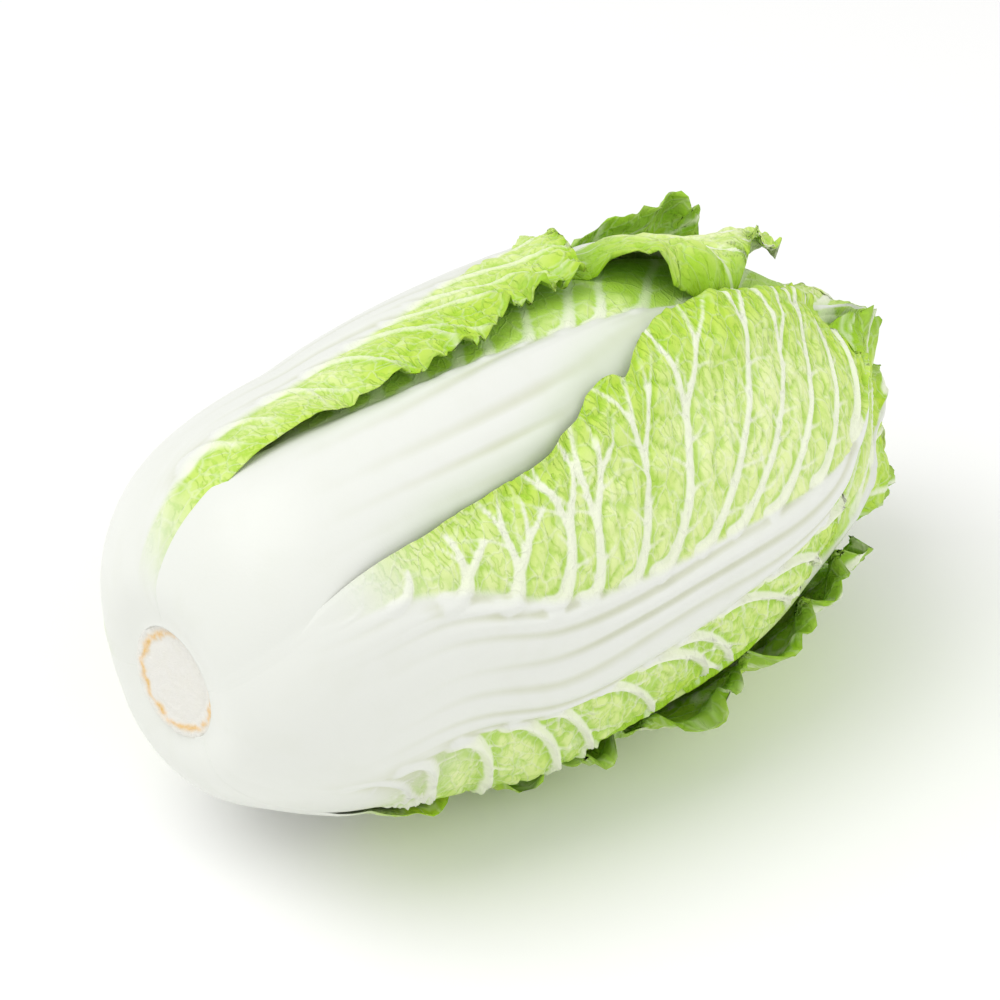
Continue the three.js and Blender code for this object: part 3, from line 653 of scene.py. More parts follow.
class VeinNet:
    """The side veins of a leaf, traced in its chart and drawn on a fine raster."""

    CELL = 0.5
    LENGTH = 340.0
    HALF_WIDTH = 150.0
    STEP = 0.8
    SPACING = 14.5
    INNER_RUN = 80.0
    ALONG = 4.0
    NOISE_SEED = 5
    WIDTH_BANDS = ((0, 1.2), (1.2, 2.6), (2.6, 9))
    REACH = 1.3
    SWELL_WIDTH = 0.62
    SWELL_FALL = 1.6
    CORE = (0.42, 0.85)
    NEAR = 2.2
    PANEL_FROM = 0.55

    def __init__(
        self, seed: int, length: float, chart: Any, spacing: float = SPACING, hook: float = 0.0
    ) -> None:
        """Traces and draws the veins.

        Args:
            seed: of what is random.
            length: of the leaf, in mm.
            chart: the leaf laid flat, which knows how wide the midrib and the leaf are.
            spacing: between the side veins.
            hook: how much those on the right bend, from 0 to 1.
        """
        self.habit = VeinHabit()
        self.hook = hook
        self.length = length
        self.chart = chart
        self.spacing = spacing
        self.random = np.random.default_rng(seed)
        self.noise = Noise(seed + self.NOISE_SEED)
        self.points: list[VeinPoint] = []
        self.trace()
        self.draw()

    def trace(self) -> None:
        """Grows side veins from both edges of the midrib, evenly but not regularly spaced."""
        habit, end = self.habit, self.length
        for side in (-1, 1):
            a = habit.first_at + habit.first_spread * self.random.random()
            while a < end - habit.last_before_tip:
                self.lateral(a, side)
                late = smoothstep(habit.tip_spacing_from * end, end, a)
                spacing = self.spacing * mix(1.0, habit.tip_spacing, late)
                a += spacing * self.random.uniform(*habit.uneven)

    def lateral(self, a: float, side: int) -> None:
        """Traces one side vein, from deep in the midrib to the margin.

        Args:
            a: where it leaves the midrib.
            side: -1 for the left blade, 1 for the right one.
        """
        habit = self.habit
        half = self.chart.half_midrib(a, side)
        room = self.chart.half_leaf(a, side) - half
        root = side * half * habit.root
        share = a / self.length
        width = mix(*habit.width, share) * self.random.uniform(*habit.width_spread)
        width = width * smoothstep(*habit.room, room)
        for back in np.arange(self.INNER_RUN, 0, -self.STEP):
            fade = 1 - back / self.INNER_RUN
            wide = mix(habit.strand_width, width + habit.strand_over, fade**2)
            self.points.append(VeinPoint(a - back, root, wide, habit.strand_height * fade, 0.0))
        first = mix(*habit.leaving, smoothstep(*habit.leaving_run, share))
        first += self.random.uniform(-habit.leaving_spread, habit.leaving_spread)
        last = mix(*habit.arriving, smoothstep(*habit.arriving_run, share))
        last += self.random.uniform(-habit.arriving_spread, habit.arriving_spread)
        if side > 0:
            first -= habit.leaving_hook * self.hook
            last += habit.arriving_hook * self.hook
        lean = math.sin(math.radians(max(first, habit.least_angle)))
        length = max(room, habit.least_room) / lean * habit.spare_length
        hooked = self.hook and side > 0
        forks = habit.forks if share < habit.forks_until and not hooked else 1
        self.run((a, root), (self.ALONG, first, last), side, width, length, forks)

    def run(
        self, start: Pair, angles: Triple, side: int, width: float,
        length: float, forks: int,
    ) -> None:
        """Traces a vein outwards until it meets the margin.

        Args:
            start: a and b of its first point.
            angles: its angles to the midrib at the start, a little later and at its end.
            side: -1 for the left blade, 1 for the right one.
            width: its width at the start.
            length: about how long it is.
            forks: how many times it may still fork.
        """
        habit = self.habit
        a, b = start
        travelled, next_twig, toggle = 0.0, self.random.uniform(*habit.twig_first), 1
        fork_at = max(length * self.random.uniform(*habit.fork_at), habit.fork_least)
        drift = self.random.uniform(0, 100)
        thin, thick = habit.height
        while travelled < length:
            t = travelled / length
            settled = smoothstep(0, habit.bend_length, travelled)
            angle = mix(angles[0], mix(angles[1], angles[2], t), settled)
            angle = float(angle + habit.wander * self.noise.at(travelled / habit.wander_length, drift))
            a += self.STEP * math.cos(math.radians(angle))
            b += side * self.STEP * math.sin(math.radians(angle))
            travelled += self.STEP
            if abs(b) > self.chart.half_leaf(a, side) * habit.past_margin:
                return
            now = width * mix(1, habit.thinned, t)
            flare = habit.flare * math.exp(-travelled / habit.flare_length) * (angles[0] == self.ALONG)
            self.points.append(VeinPoint(a, b, now * (1 + flare), thin + thick * now, 1.0))
            if forks and travelled > fork_at:
                spread = self.random.uniform(*habit.fork_angle)
                rest = (length - travelled) * habit.spare_length
                for turn in (-spread, spread * habit.fork_other):
                    last = angles[2] + turn * habit.fork_other
                    turned = (angle + turn * habit.fork_soft, angle + turn, last)
                    self.run((a, b), turned, side, now * habit.fork_width, rest, forks - 1)
                return
            if travelled > next_twig and now > habit.twig_parent:
                self.twig((a, b), angle + toggle * self.random.uniform(*habit.twig_angle), side, now)
                toggle = -toggle
                next_twig += self.random.uniform(*habit.twig_gap)

    def twig(self, start: Pair, angle: float, side: int, parent: float) -> None:
        """Traces a thin vein across the panel beside its parent.

        Args:
            start: a and b of its first point.
            angle: the way it sets out.
            side: -1 for the left blade, 1 for the right one.
            parent: the width of the vein that it comes from.
        """
        habit = self.habit
        a, b = start
        length = self.random.uniform(*habit.twig_length)
        width = min(habit.twig_width * parent, habit.twig_widest)
        bend = self.random.uniform(-habit.twig_bend, habit.twig_bend)
        for k in range(int(length / self.STEP)):
            a += self.STEP * math.cos(math.radians(angle))
            b += side * self.STEP * math.sin(math.radians(angle))
            angle += bend
            if abs(b) > self.chart.half_leaf(a, side):
                return
            now = width * (1 - habit.twig_thinned * k * self.STEP / length)
            self.points.append(VeinPoint(a, b, now, habit.twig_height * now, habit.twig_white))

    def draw(self) -> None:
        """Draws the traced veins as a relief and as a mask, and blurs the mask to find the panels."""
        shape = (int(self.LENGTH / self.CELL), int(2 * self.HALF_WIDTH / self.CELL))
        self.relief, self.mask = np.zeros(shape), np.zeros(shape)
        data = np.array([(p.a, p.b, p.width, p.height, p.white) for p in self.points])
        for low, high in self.WIDTH_BANDS:
            chosen = data[(data[:, 2] > low) & (data[:, 2] <= high)]
            reach = int(math.ceil(self.REACH * high / self.CELL))
            span = np.arange(-reach, reach + 1)
            di, dj = crossed(span, span)
            a, b, width, height, white = (chosen[:, k, None, None] for k in range(5))
            i = np.floor(a / self.CELL).astype(int) + di
            j = np.floor((b + self.HALF_WIDTH) / self.CELL).astype(int) + dj
            off_a, off_b = (i + 0.5) * self.CELL - a, (j + 0.5) * self.CELL - self.HALF_WIDTH - b
            distance = np.hypot(off_a, off_b)
            swell = np.exp(-((distance / (self.SWELL_WIDTH * width)) ** 2) * self.SWELL_FALL)
            core = 1 - smoothstep(*self.CORE, distance / width)
            inside = (i >= 0) & (i < shape[0]) & (j >= 0) & (j < shape[1])
            np.maximum.at(self.relief, (i[inside], j[inside]), (height * swell)[inside])
            np.maximum.at(self.mask, (i[inside], j[inside]), (white * core)[inside])
        self.mask = blurred(self.mask, 1, 1)
        self.near = blurred(self.mask, int(self.NEAR / self.CELL))

    def read(self, raster: Array, a: Array, b: Array) -> Array:
        """Returns a raster's value at a and b, read between its cells."""
        x = np.clip(a / self.CELL - 0.5, 0, raster.shape[0] - 1.001)
        y = np.clip((b + self.HALF_WIDTH) / self.CELL - 0.5, 0, raster.shape[1] - 1.001)
        i, j = x.astype(int), y.astype(int)
        fx, fy = x - i, y - j
        low = mix(raster[i, j], raster[i + 1, j], fx)
        return mix(low, mix(raster[i, j + 1], raster[i + 1, j + 1], fx), fy)

    def panels(self, a: Array, b: Array) -> Array:
        """Returns 1 in the middle of the panels between the veins and 0 on the veins."""
        return 1 - np.clip(self.read(self.near, a, b) / self.PANEL_FROM, 0, 1)


class Tissue:
    """How leaf tissue crinkles: frills along its margin and puckers between its veins.

    Each of the margin's waves has a length, a share of the frill's height, a reach inwards and a
    swing along the margin.
    """

    WAVES = ((25, 1.0, 16, 0.5), (11.5, 0.5, 8, 0.6), (5.8, 0.18, 3.8, 0.6))
    WARP = 2.4
    WARP_LENGTH = 31.0
    WAVE_SIZES = (0.45, 1.3)
    SIZE_LENGTH = 37.0
    FADE_POWER = 1.5
    CURL_WIDTH = 5.0
    CURL_LENGTH = 45.0
    ROWS = (50, 77, 30, 40)
    SLANT = (0.42, 0.91)
    BLISTER_LENGTH = 7.0
    BLISTER = (0.75, 0.5)
    FOLD_WANDER = 1.6
    FOLD_WANDER_LENGTH = 9.0
    FOLD_GAP = 4.2
    FOLD_LENGTH = 8.5
    FOLD_RISE = 2.4
    SHARES = (0.6, 0.85)
    WOVEN = 0.62
    HOLLOW_REACH = 4
    HOLLOW_DEPTH = 0.45
    TALLEST = 1.4
    EDGE_REACH = 19.0

    def __init__(self, noise: Noise, frill: float, curl: float = 0.0) -> None:
        """Keeps the margin's height of frill and of curl, in mm."""
        self.noise = noise
        self.frill = frill
        self.curl = curl

    def frills(self, along: Array, edge: Array) -> tuple[Array, Array]:
        """Works out the margin's frills.

        Args:
            along: distance travelled along the margin.
            edge: distance to it.

        Returns:
            The height of the frills and how far they slide along the margin, which rounds them.
        """
        height, slide = 0.0, 0.0
        longest = self.WAVES[0][0]
        warp = self.WARP * self.noise.at(along / self.WARP_LENGTH, self.ROWS[0])
        for length, share, reach, swing in self.WAVES:
            uneven = 0.5 + 0.5 * self.noise.at(along / self.SIZE_LENGTH, length)
            size = self.frill * share * mix(*self.WAVE_SIZES, uneven)
            phase = 2 * math.pi * along / length + warp * (longest / length) ** 0.5 + length
            fade = np.exp(-((edge / reach) ** self.FADE_POWER))
            height = height + size * fade * (0.5 + 0.5 * np.sin(phase))
            slide = slide - swing * size * fade * np.cos(phase)
        uneven = 0.5 + 0.5 * self.noise.at(along / self.CURL_LENGTH, self.ROWS[1])
        return height + self.curl * np.exp(-((edge / self.CURL_WIDTH) ** 2)) * uneven, slide

    def slanted(self, a: Array, b: Array) -> tuple[Array, Array]:
        """Turns a place towards the side veins' run, mirrored on the two sides of the midrib."""
        part, most = self.SLANT
        return part * a + most * np.abs(b), most * a - part * np.abs(b)

    def puckers(self, a: Array, b: Array, panel: Array) -> Array:
        """Works out the blisters between the veins, with folds across them.

        Args:
            a, b: place along the leaf and across it.
            panel: 1 between the veins and 0 on them.

        Returns:
            Their height.
        """
        base, swell = self.BLISTER
        uneven = self.noise.layered(a / self.BLISTER_LENGTH, b / self.BLISTER_LENGTH, 2)
        blisters = panel * (base + swell * uneven)
        slant, across = self.slanted(a, b)
        wander = self.FOLD_WANDER_LENGTH
        bent = across + self.FOLD_WANDER * self.noise.at(slant / wander, across / wander + self.ROWS[2])
        creased = self.noise.layered(bent / self.FOLD_GAP + self.ROWS[3], slant / self.FOLD_LENGTH, 2)
        folds = np.clip(np.abs(creased) * self.FOLD_RISE, 0, 1)
        return self.SHARES[0] * blisters + self.SHARES[1] * panel * folds

    def woven(self, a: Array, b: Array, seed: int) -> Array:
        """Returns the place that the material's patterns read, drawn out along the side veins."""
        slant, across = self.slanted(a, b)
        return np.stack([self.WOVEN * slant, across, np.full_like(a, float(seed))], -1)

    def relief_values(self, relief: Array, pucker: Array, edge: Array) -> dict[str, Array]:
        """Works out what the material reads of the relief, among it how sunk each place is, where it paints
        shade.

        Args:
            relief: height of veins and puckers.
            pucker: height of the puckers alone.
            edge: distance to the margin.

        Returns:
            Numbers from 0 to 1 by name. The panel number, how high the puckers stand, paints light on their
            tops.
        """
        sunk = blurred(relief, self.HOLLOW_REACH) - relief
        return {
            # Painted shade: how far each place sits below its blurred surroundings, which the material
            # darkens.
            "hollow_shade": np.clip(sunk / self.HOLLOW_DEPTH, 0, 1),
            "edge": np.exp(-edge / self.EDGE_REACH),
            "panel": np.clip(pucker / self.TALLEST, 0, 1),
        }


@dataclass
class Surface:
    """A closed sheet to be: a fine grid of outer points, inner points and what varies over them."""

    outer: Array
    inner: Array
    values: dict[str, Array]
    chart: Array


class MeshMaker:
    """Turns surfaces into mesh objects."""

    UV_MARGIN = 0.01
    UV_STRIPS = ((0.01, 0.66), (0.69, 0.3))

    @staticmethod
    def sheet(name: str, surface: Surface) -> bpy.types.Object:
        """Makes a closed sheet, whose inner side has half as many rows and columns.

        Args:
            name: the object's name.
            surface: its points and values, with an even number of cells each way.

        Returns:
            The object, smooth shaded, with its values as attributes.
        """
        rows, columns = surface.outer.shape[0] - 1, surface.outer.shape[1] - 1
        outer_at = lambda i, j: i * (columns + 1) + j
        offset = (rows + 1) * (columns + 1)
        half = columns // 2 + 1
        inner_at = lambda i, j: offset + (i // 2) * half + j // 2
        i, j = crossed(np.arange(rows), np.arange(columns))
        front = [outer_at(i, j), outer_at(i, j + 1), outer_at(i + 1, j + 1), outer_at(i + 1, j)]
        i, j = crossed(np.arange(0, rows, 2), np.arange(0, columns, 2))
        back = [inner_at(i, j), inner_at(i + 2, j), inner_at(i + 2, j + 2), inner_at(i, j + 2)]
        quads = np.concatenate([np.stack(side, -1).reshape(-1, 4) for side in (front, back)])
        seams = []
        for i in range(0, rows, 2):
            for j, steps in ((0, (0, 1, 2)), (columns, (2, 1, 0))):
                outer = [outer_at(i + step, j) for step in steps]
                seams += MeshMaker.seam(*outer, inner_at(i + steps[0], j), inner_at(i + steps[2], j))
        for j in range(0, columns, 2):
            for i, steps in ((0, (2, 1, 0)), (rows, (0, 1, 2))):
                outer = [outer_at(i, j + step) for step in steps]
                seams += MeshMaker.seam(*outer, inner_at(i, j + steps[0]), inner_at(i, j + steps[2]))
        points = MeshMaker.both_sides(surface.outer, surface.inner)
        values = {key: MeshMaker.both_sides(grid, grid) for key, grid in surface.values.items()}
        chart = MeshMaker.both_sides(surface.chart, surface.chart)
        u, v = crossed(np.linspace(0, 1, rows + 1), np.linspace(0, 1, columns + 1))
        margin, tall = MeshMaker.UV_MARGIN, 1 - 2 * MeshMaker.UV_MARGIN
        at_outer, at_inner = (
            np.stack([first + width * v, margin + tall * u], -1) for first, width in MeshMaker.UV_STRIPS
        )
        uv = MeshMaker.both_sides(at_outer, at_inner)
        return MeshMaker.build(name, points, quads, np.array(seams), values, chart, uv)

    @staticmethod
    def both_sides(outer: Array, inner: Array) -> Array:
        """Lists a grid's values at the outer points, then at every other inner point."""
        inner = inner[::2, ::2]
        return np.concatenate([outer.reshape(-1, *outer.shape[2:]), inner.reshape(-1, *inner.shape[2:])])

    @staticmethod
    def rings(count: int, sides: int) -> tuple[Array, Array]:
        """Joins rings of points, and closes both ends.

        Args:
            count: how many rings there are. Their points come first, ring by ring.
            sides: how many points each has. The middles of the first and the last ring come after.

        Returns:
            The faces with four corners between the rings and those with three that close the ends.
        """
        at = lambda i, j: i * sides + j % sides
        i, j = crossed(np.arange(count - 1), np.arange(sides))
        quads = np.stack([at(i, j), at(i, j + 1), at(i + 1, j + 1), at(i + 1, j)], -1).reshape(-1, 4)
        j = np.arange(sides)
        first, last = np.full_like(j, count * sides), np.full_like(j, count * sides + 1)
        fans = [
            np.stack([first, at(0, j + 1), at(0, j)], -1),
            np.stack([last, at(count - 1, j), at(count - 1, j + 1)], -1),
        ]
        return quads, np.concatenate(fans)

    @staticmethod
    def seam(a: int, b: int, c: int, near: int, far: int) -> list[tuple[int, int, int]]:
        """Returns the three triangles that join two edges of the outer side to one of the inner."""
        return [(a, b, near), (b, far, near), (b, c, far)]

    @staticmethod
    def build(
        name: str, points: Array, quads: Array, triangles: Array, values: dict[str, Array],
        chart: Array, uv: Array,
    ) -> bpy.types.Object:
        """Makes a mesh object from arrays.

        Args:
            name: the object's name.
            points: its vertices, in mm.
            quads, triangles: its faces with four and with three corners.
            values, chart: numbers and a vector for each vertex, kept as attributes.
            uv: the texture place of each vertex.

        Returns:
            The object, linked into the scene.
        """
        corners = np.concatenate([quads.reshape(-1), triangles.reshape(-1)]).astype(np.int32)
        starts = [np.arange(len(quads)) * 4, len(quads) * 4 + np.arange(len(triangles)) * 3]
        starts = np.concatenate(starts)
        mesh = bpy.data.meshes.new(name)
        mesh.vertices.add(len(points))
        mesh.vertices.foreach_set("co", (points * METRES).astype(np.float32).reshape(-1))
        mesh.loops.add(len(corners))
        mesh.loops.foreach_set("vertex_index", corners)
        mesh.polygons.add(len(starts))
        mesh.polygons.foreach_set("loop_start", starts.astype(np.int32))
        mesh.update(calc_edges=True)
        mesh.polygons.foreach_set("use_smooth", np.ones(len(starts), bool))
        layer = mesh.uv_layers.new(name="OFBake")
        layer.data.foreach_set("uv", uv[corners].astype(np.float32).reshape(-1))
        for key, grid in values.items():
            attribute = mesh.attributes.new(key, "FLOAT", "POINT")
            attribute.data.foreach_set("value", grid.astype(np.float32))
        attribute = mesh.attributes.new("chart", "FLOAT_VECTOR", "POINT")
        attribute.data.foreach_set("vector", chart.astype(np.float32).reshape(-1))
        mesh.validate()
        made = bpy.data.objects.new(name, mesh)
        bpy.context.scene.collection.objects.link(made)
        return made


@dataclass
class LaidLeaf:
    """A leaf laid on the head, before the head's weight presses its underside flat.

    Its points slide along the margin, which turned says runs across the leaf near its tip. Where it
    is thin, its inner side follows the outer one at the blade's thickness.
    """

    sigma: Array
    phi: Array
    inner: Array
    outer: Array
    slide: Array
    side: Array
    turned: Array
    thin: Array
    blade: Array
    values: dict[str, Array]
    chart: Array

    LEAST_BOTTOM = 0.05

    def placed(self, wrapping: Wrapping) -> Surface:
        """Presses, slides and thickens the leaf.

        Args:
            wrapping: the head's wrapping with all its leaves.

        Returns:
            The leaf's surface.
        """
        slide, side, turned, thin, blade = (
            grid[..., None] for grid in (self.slide, self.side, self.turned, self.thin, self.blade)
        )
        top = wrapping.pressed(self.sigma, self.phi, self.outer)
        low = wrapping.pressed(self.sigma, self.phi, self.inner)
        along, across = unit(np.gradient(top, axis=0)), unit(np.gradient(top, axis=1) * side)
        moved = -side * (along * (1 - turned) - across * turned) * slide
        top, low = top + moved, low + moved
        low = mix(low, top - outwards(top) * blade, thin)
        top[..., 2] = np.maximum(top[..., 2], 0)
        low[..., 2] = np.maximum(low[..., 2], self.LEAST_BOTTOM)
        return Surface(top, low, self.values, self.chart)


class Leaf:
    """A wrapper leaf: its place on the head, its veins, its puckers and its frilled margin."""

    SPARE = 0.06
    COVER = (420, 300)

    BLADE = 0.85
    THIN = 0.22
    THINS_OVER = 4.0
    DRAPE = 11.0
    CLOSE = 0.12
    JOINT = 0.35
    JOINT_OVER = 2.0
    JOINT_SUNK = 0.35
    FUSED = (24.0, 85.0)

    STAND_POWER = 1.6
    TIP_STAND = 0.6
    LIFT_RUN = 0.35
    TIP_SWIRL = 1.1

    DISH_RUN = 14

    LOBE = 2.2
    LOBE_LENGTHS = (15, 6.5)
    TOOTH = 0.7
    TOOTH_LENGTH = 2.3
    ROUNDING = 0.9
    SCALLOP_LENGTH = 17
    LEAST_WIDTH = 12
    MARGIN_ROWS = (31.7, 3, 7)
    NOTCH_POWER = 1.5

    ROW_CROWDING = 1.08
    TIP_BOW = 0.05
    FRILL_RUN = (12, 110)
    TIP_FRILL = 0.75
    RIB_EDGE = (0.86, 1.12)
    RIB_ENDS = (0.76, 0.97)
    RIB_NARROWING = 0.8
    RIB_VEINS = 0.8
    GROWN_BEFORE = (6, 12)

    RIDGE_WANDER = (70, 1.7, 60)
    RIDGE_POWER = 0.7
    RIDGE_SIZES = (0.65, 0.35)
    RIDGE_SEED = 3.7
    PLEAT_STEEP = 3.5
    PLEAT_SHARE = 0.9

    SHADE_ON_RIBS = 0.2
    PALE_IN = (0.25, 60)
    RIBBED_RUN = (190, 235)
    EDGE_AT_BASE = 0.45

    def __init__(self, form: LeafForm, profile: Profile) -> None:
        """Lays out a leaf of this form on the heart's profile."""
        self.form = form
        self.profile = profile
        self.sizes = profile.sizes
        self.chart = Chart(form, profile)
        self.noise = Noise(form.seed)
        self.tissue = Tissue(self.noise, form.frill, form.curl)
        self.columns = [[s[k] for s in form.stations] for k in range(8)]
        self.length = float(self.columns[0][-1])

    def place(self, u: Array, v: Array) -> tuple[Array, Array, Array]:
        """Finds a place on the leaf.

        Args:
            u: from 0 at the base to 1 at the tip.
            v: from -1 at the left margin to 1 at the right one.

        Returns:
            Sigma, phi and the share of the half leaf that the midrib takes there.
        """
        read = lambda k: through_stations(self.columns[k], u)
        left = v < 0
        sigma, phi = read(0), read(1)
        margin_sigma = np.where(left, read(4), read(6))
        margin_phi = np.where(left, read(5), read(7))
        share = np.where(left, read(2), read(3)) / np.abs(margin_phi - phi)
        far = np.abs(v)
        return mix(sigma, margin_sigma, far), mix(phi, margin_phi, far), share

    def crown(self, v: Array, share: Array) -> Array:
        """Returns 1 on the middle of the midrib and 0 at its edges and over the blades."""
        return np.maximum(0, 1 - (np.abs(v) / share) ** self.sizes.crown_power)

    def rise(self, u: Array, v: Array, free: Array) -> Array:
        """Works out how far the margins and the tip stand off what lies under them.

        Args:
            u, v: places along the leaf and across it.
            free: how free the leaf is there.

        Returns:
            The height.
        """
        start, left, right = self.form.lift
        tip = smoothstep(0.7, 1, u)
        bend = np.maximum(np.abs(v) ** self.STAND_POWER, self.TIP_STAND * tip)
        stand = mix(left, right, (v + 1) / 2) * smoothstep(start, start + self.LIFT_RUN, u) * bend
        phase = 2 * math.pi * (self.form.waves * u + self.TIP_SWIRL * v * tip) + self.form.midrib
        edge = smoothstep(0.15, 0.4, u) * np.maximum(smoothstep(0.45, 1, np.abs(v)), tip)
        return free * (stand + self.form.ruffle * edge * (0.5 + 0.5 * np.sin(phase)))

    def flush(self, sigma: Array, phi: Array, bare: Array, crown: Array) -> Array:
        """Works out the height of the leaf bases, round lobes that come up to the cut.

        Args:
            sigma, phi: distance from the stem and angle round the axis.
            bare: 1 where the base shows.
            crown: 1 on the middle of the midrib.

        Returns:
            The height of the outer side.
        """
        sizes = self.sizes
        shoulder = mix(sizes.shoulder, self.form.shoulder, crown * smoothstep(8, 40, sigma))
        lobe = sizes.base_lobe * (1 - crown) * smoothstep(3, 25, sigma)
        dish = (sizes.stem_depth + shoulder) * (1 - smoothstep(0, self.DISH_RUN, sigma))
        full = mix(sizes.base_hidden, sizes.heart_start + shoulder, bare)
        return full - lobe - dish - flank_of(sizes, sigma, phi)

    def inwards(self, u: Array, v: Array) -> Array:
        """Returns the distance in from the leaf's plain outline."""
        width = np.where(v < 0, self.chart.half_blade(u, -1), self.chart.half_blade(u, 1))
        return np.maximum(0, (1 - np.abs(v)) * width)

    def blade(self, edge: Array) -> Array:
        """Returns the blade's thickness, less at its margin."""
        return mix(self.THIN, self.BLADE, smoothstep(0, self.THINS_OVER, edge))

    def heights(
        self, u: Array, v: Array, wrapping: Wrapping, grids: Grids
    ) -> tuple[Array, Array, Array, Array, Array]:
        """Finds both sides of the leaf where it lies on what is wrapped so far.

        Args:
            u, v: places along the leaf and across it.
            wrapping: what it is wrapped round.
            grids: where it may lift and wave, and where its base shows.

        Returns:
            Sigma, phi, the midrib's share, and the heights of the inner and the outer side.
        """
        sigma, phi, share = self.place(u, v)
        loose = wrapping.share(grids.free, sigma, phi)
        over = wrapping.read(wrapping.sheet, sigma, phi) + self.sizes.gap
        close = np.minimum(over, wrapping.read(wrapping.smooth, sigma, phi) + self.CLOSE)
        inwards = self.inwards(u, v)
        draped = np.exp(-((inwards / self.DRAPE) ** 2))
        inner = mix(over, close, draped) + self.rise(u, v, loose)
        crown = self.crown(v, share)
        taper = mix(1, self.sizes.tip_thinning, smoothstep(0.25, 0.95, u))
        natural = inner + self.blade(inwards) + self.form.midrib * taper * crown
        joint = self.JOINT * (smoothstep(0, self.JOINT_OVER, inwards) - self.JOINT_SUNK)
        flush = self.flush(sigma, phi, wrapping.share(grids.bare, sigma, phi), crown) + joint
        outer = mix(flush, natural, smoothstep(*self.FUSED, sigma))
        return sigma, phi, share, np.minimum(inner, outer - self.THIN), outer

    def cover(self, spare: float) -> tuple[Array, Array]:
        """Returns evenly spaced u and v that leave no cell of the wrapping's grid out."""
        u, v = crossed(np.linspace(0, 1, self.COVER[0]), np.linspace(-1, 1, self.COVER[1]))
        return u, v * (1 + spare)

    def outline(self, u: Array, side: int) -> Array:
        """Works out the ragged margin.

        Args:
            u: places along the leaf.
            side: -1 for the left margin, 1 for the right one.

        Returns:
            How far the margin reaches, where 1 is the leaf's plain outline.
        """
        along = u * self.length
        row, lobe_row, tooth_row = self.MARGIN_ROWS[0] * side, *self.MARGIN_ROWS[1:]
        long, short = self.LOBE_LENGTHS
        lobes = self.noise.at(along / long, row) + 0.5 * self.noise.at(along / short, row + lobe_row)
        teeth = np.abs(self.noise.at(along / self.TOOTH_LENGTH, row + tooth_row))
        ragged = smoothstep(0.1, 0.3, u) * (self.LOBE * lobes + self.TOOTH * teeth)
        arcs = np.abs(np.sin(math.pi * along / self.SCALLOP_LENGTH + lobes))
        scallops = arcs * (side > 0) * smoothstep(0.25, 0.45, u)
        ragged = ragged + self.form.scallops * scallops
        rounded = np.sqrt(1 - self.ROUNDING * smoothstep(0.72, 1, u) ** 3)
        cut = sum(
            depth * np.exp(-np.abs((along - at) / width) ** self.NOTCH_POWER)
            for notched, at, depth, width in self.form.notches
            if notched == side
        )
        half = np.maximum(self.chart.half_blade(u, side), self.LEAST_WIDTH)
        return rounded * (1 + ragged / half - cut)

    def surface(self, wrapping: Wrapping, grids: Grids) -> LaidLeaf:
        """Makes the leaf's fine surface on what is wrapped so far.

        Args:
            wrapping: what it is wrapped round.
            grids: what the leaf may do where.

        Returns:
            The surface, to be placed once all leaves are wrapped.
        """
        form = self.form
        rows = np.linspace(0, 1, form.rows + 1) ** self.ROW_CROWDING
        left, right = self.outline(rows, -1), self.outline(rows, 1)
        fan = self.fan()
        v = np.where(fan < 0, fan * left[:, None], fan * right[:, None])
        u = rows[:, None] - self.TIP_BOW * smoothstep(0.8, 1, rows)[:, None] * fan**2
        sigma, phi, midrib, inner, outer = self.heights(u, v, wrapping, grids)
        loose = wrapping.share(grids.free, sigma, phi)
        shown = wrapping.share(grids.open, sigma, phi)
        a, b = sigma, self.chart.across(sigma, phi)
        edge, along = self.edge(u, v, fan, left, right)
        net = VeinNet(form.seed, self.length, self.chart, hook=form.hook)
        narrowed = midrib * (1 - self.RIB_NARROWING * smoothstep(*self.RIB_ENDS, u))
        ribs = 1 - smoothstep(*self.RIB_EDGE, np.abs(v) / narrowed)
        early, late = self.GROWN_BEFORE
        grown = smoothstep(form.greening[0] - early, form.greening[1] - late, sigma)
        veins = net.read(net.relief, a, b) * (1 + form.fluted * (v > 0) * (1 - ribs))
        veins = veins * mix(1, self.RIB_VEINS, ribs)
        pucker = self.tissue.puckers(a, b, net.panels(a, b)) * (1 - ribs)
        pucker = pucker * smoothstep(45, 110, sigma)
        relief = shown * (grown * (veins + form.pucker * pucker) + self.ridged(a, b) * ribs)
        frill, slide = self.tissue.frills(along, edge)
        swing = mix(loose, shown, form.bold) * grown * smoothstep(*self.FRILL_RUN, sigma)
        swing = swing * (1 - self.TIP_FRILL * smoothstep(0.8, 1, u))
        frill = frill * swing
        slide = slide * swing * (1 - smoothstep(0.8, 0.94, u))
        shade = (1 - wrapping.share(grids.lit, sigma, phi)) * smoothstep(40, 80, sigma)
        values = self.tissue.relief_values(relief, pucker, edge)
        values |= self.whiteness(sigma, edge, ribs, net.read(net.mask, a, b) * grown)
        values["edge"] = values["edge"] * mix(self.EDGE_AT_BASE, 1, smoothstep(50, 150, sigma))
        values["shade"] = shade * mix(1, self.SHADE_ON_RIBS, ribs)
        outer = outer + relief + frill + self.pleated(a, b) * loose
        chart = self.tissue.woven(a, b, form.seed)
        turned = smoothstep(0.86, 1, u)
        thin = loose * (1 - ribs)
        blade = self.blade(edge)
        return LaidLeaf(
            sigma, phi, inner + frill, outer, slide, np.sign(v), turned, thin, blade, values, chart
        )

    def fan(self) -> Array:
        """Returns columns from -1 to 1, with one on the midrib's middle and alike in width."""
        left, right = (np.mean(np.abs(self.chart.margin_b[side])) for side in (-1, 1))
        cells = 2 * int(round(self.form.columns * float(left / (left + right)) / 2))
        across_right = np.linspace(0, 1, self.form.columns - cells + 1)
        return np.concatenate([np.linspace(-1, 0, cells + 1)[:-1], across_right])

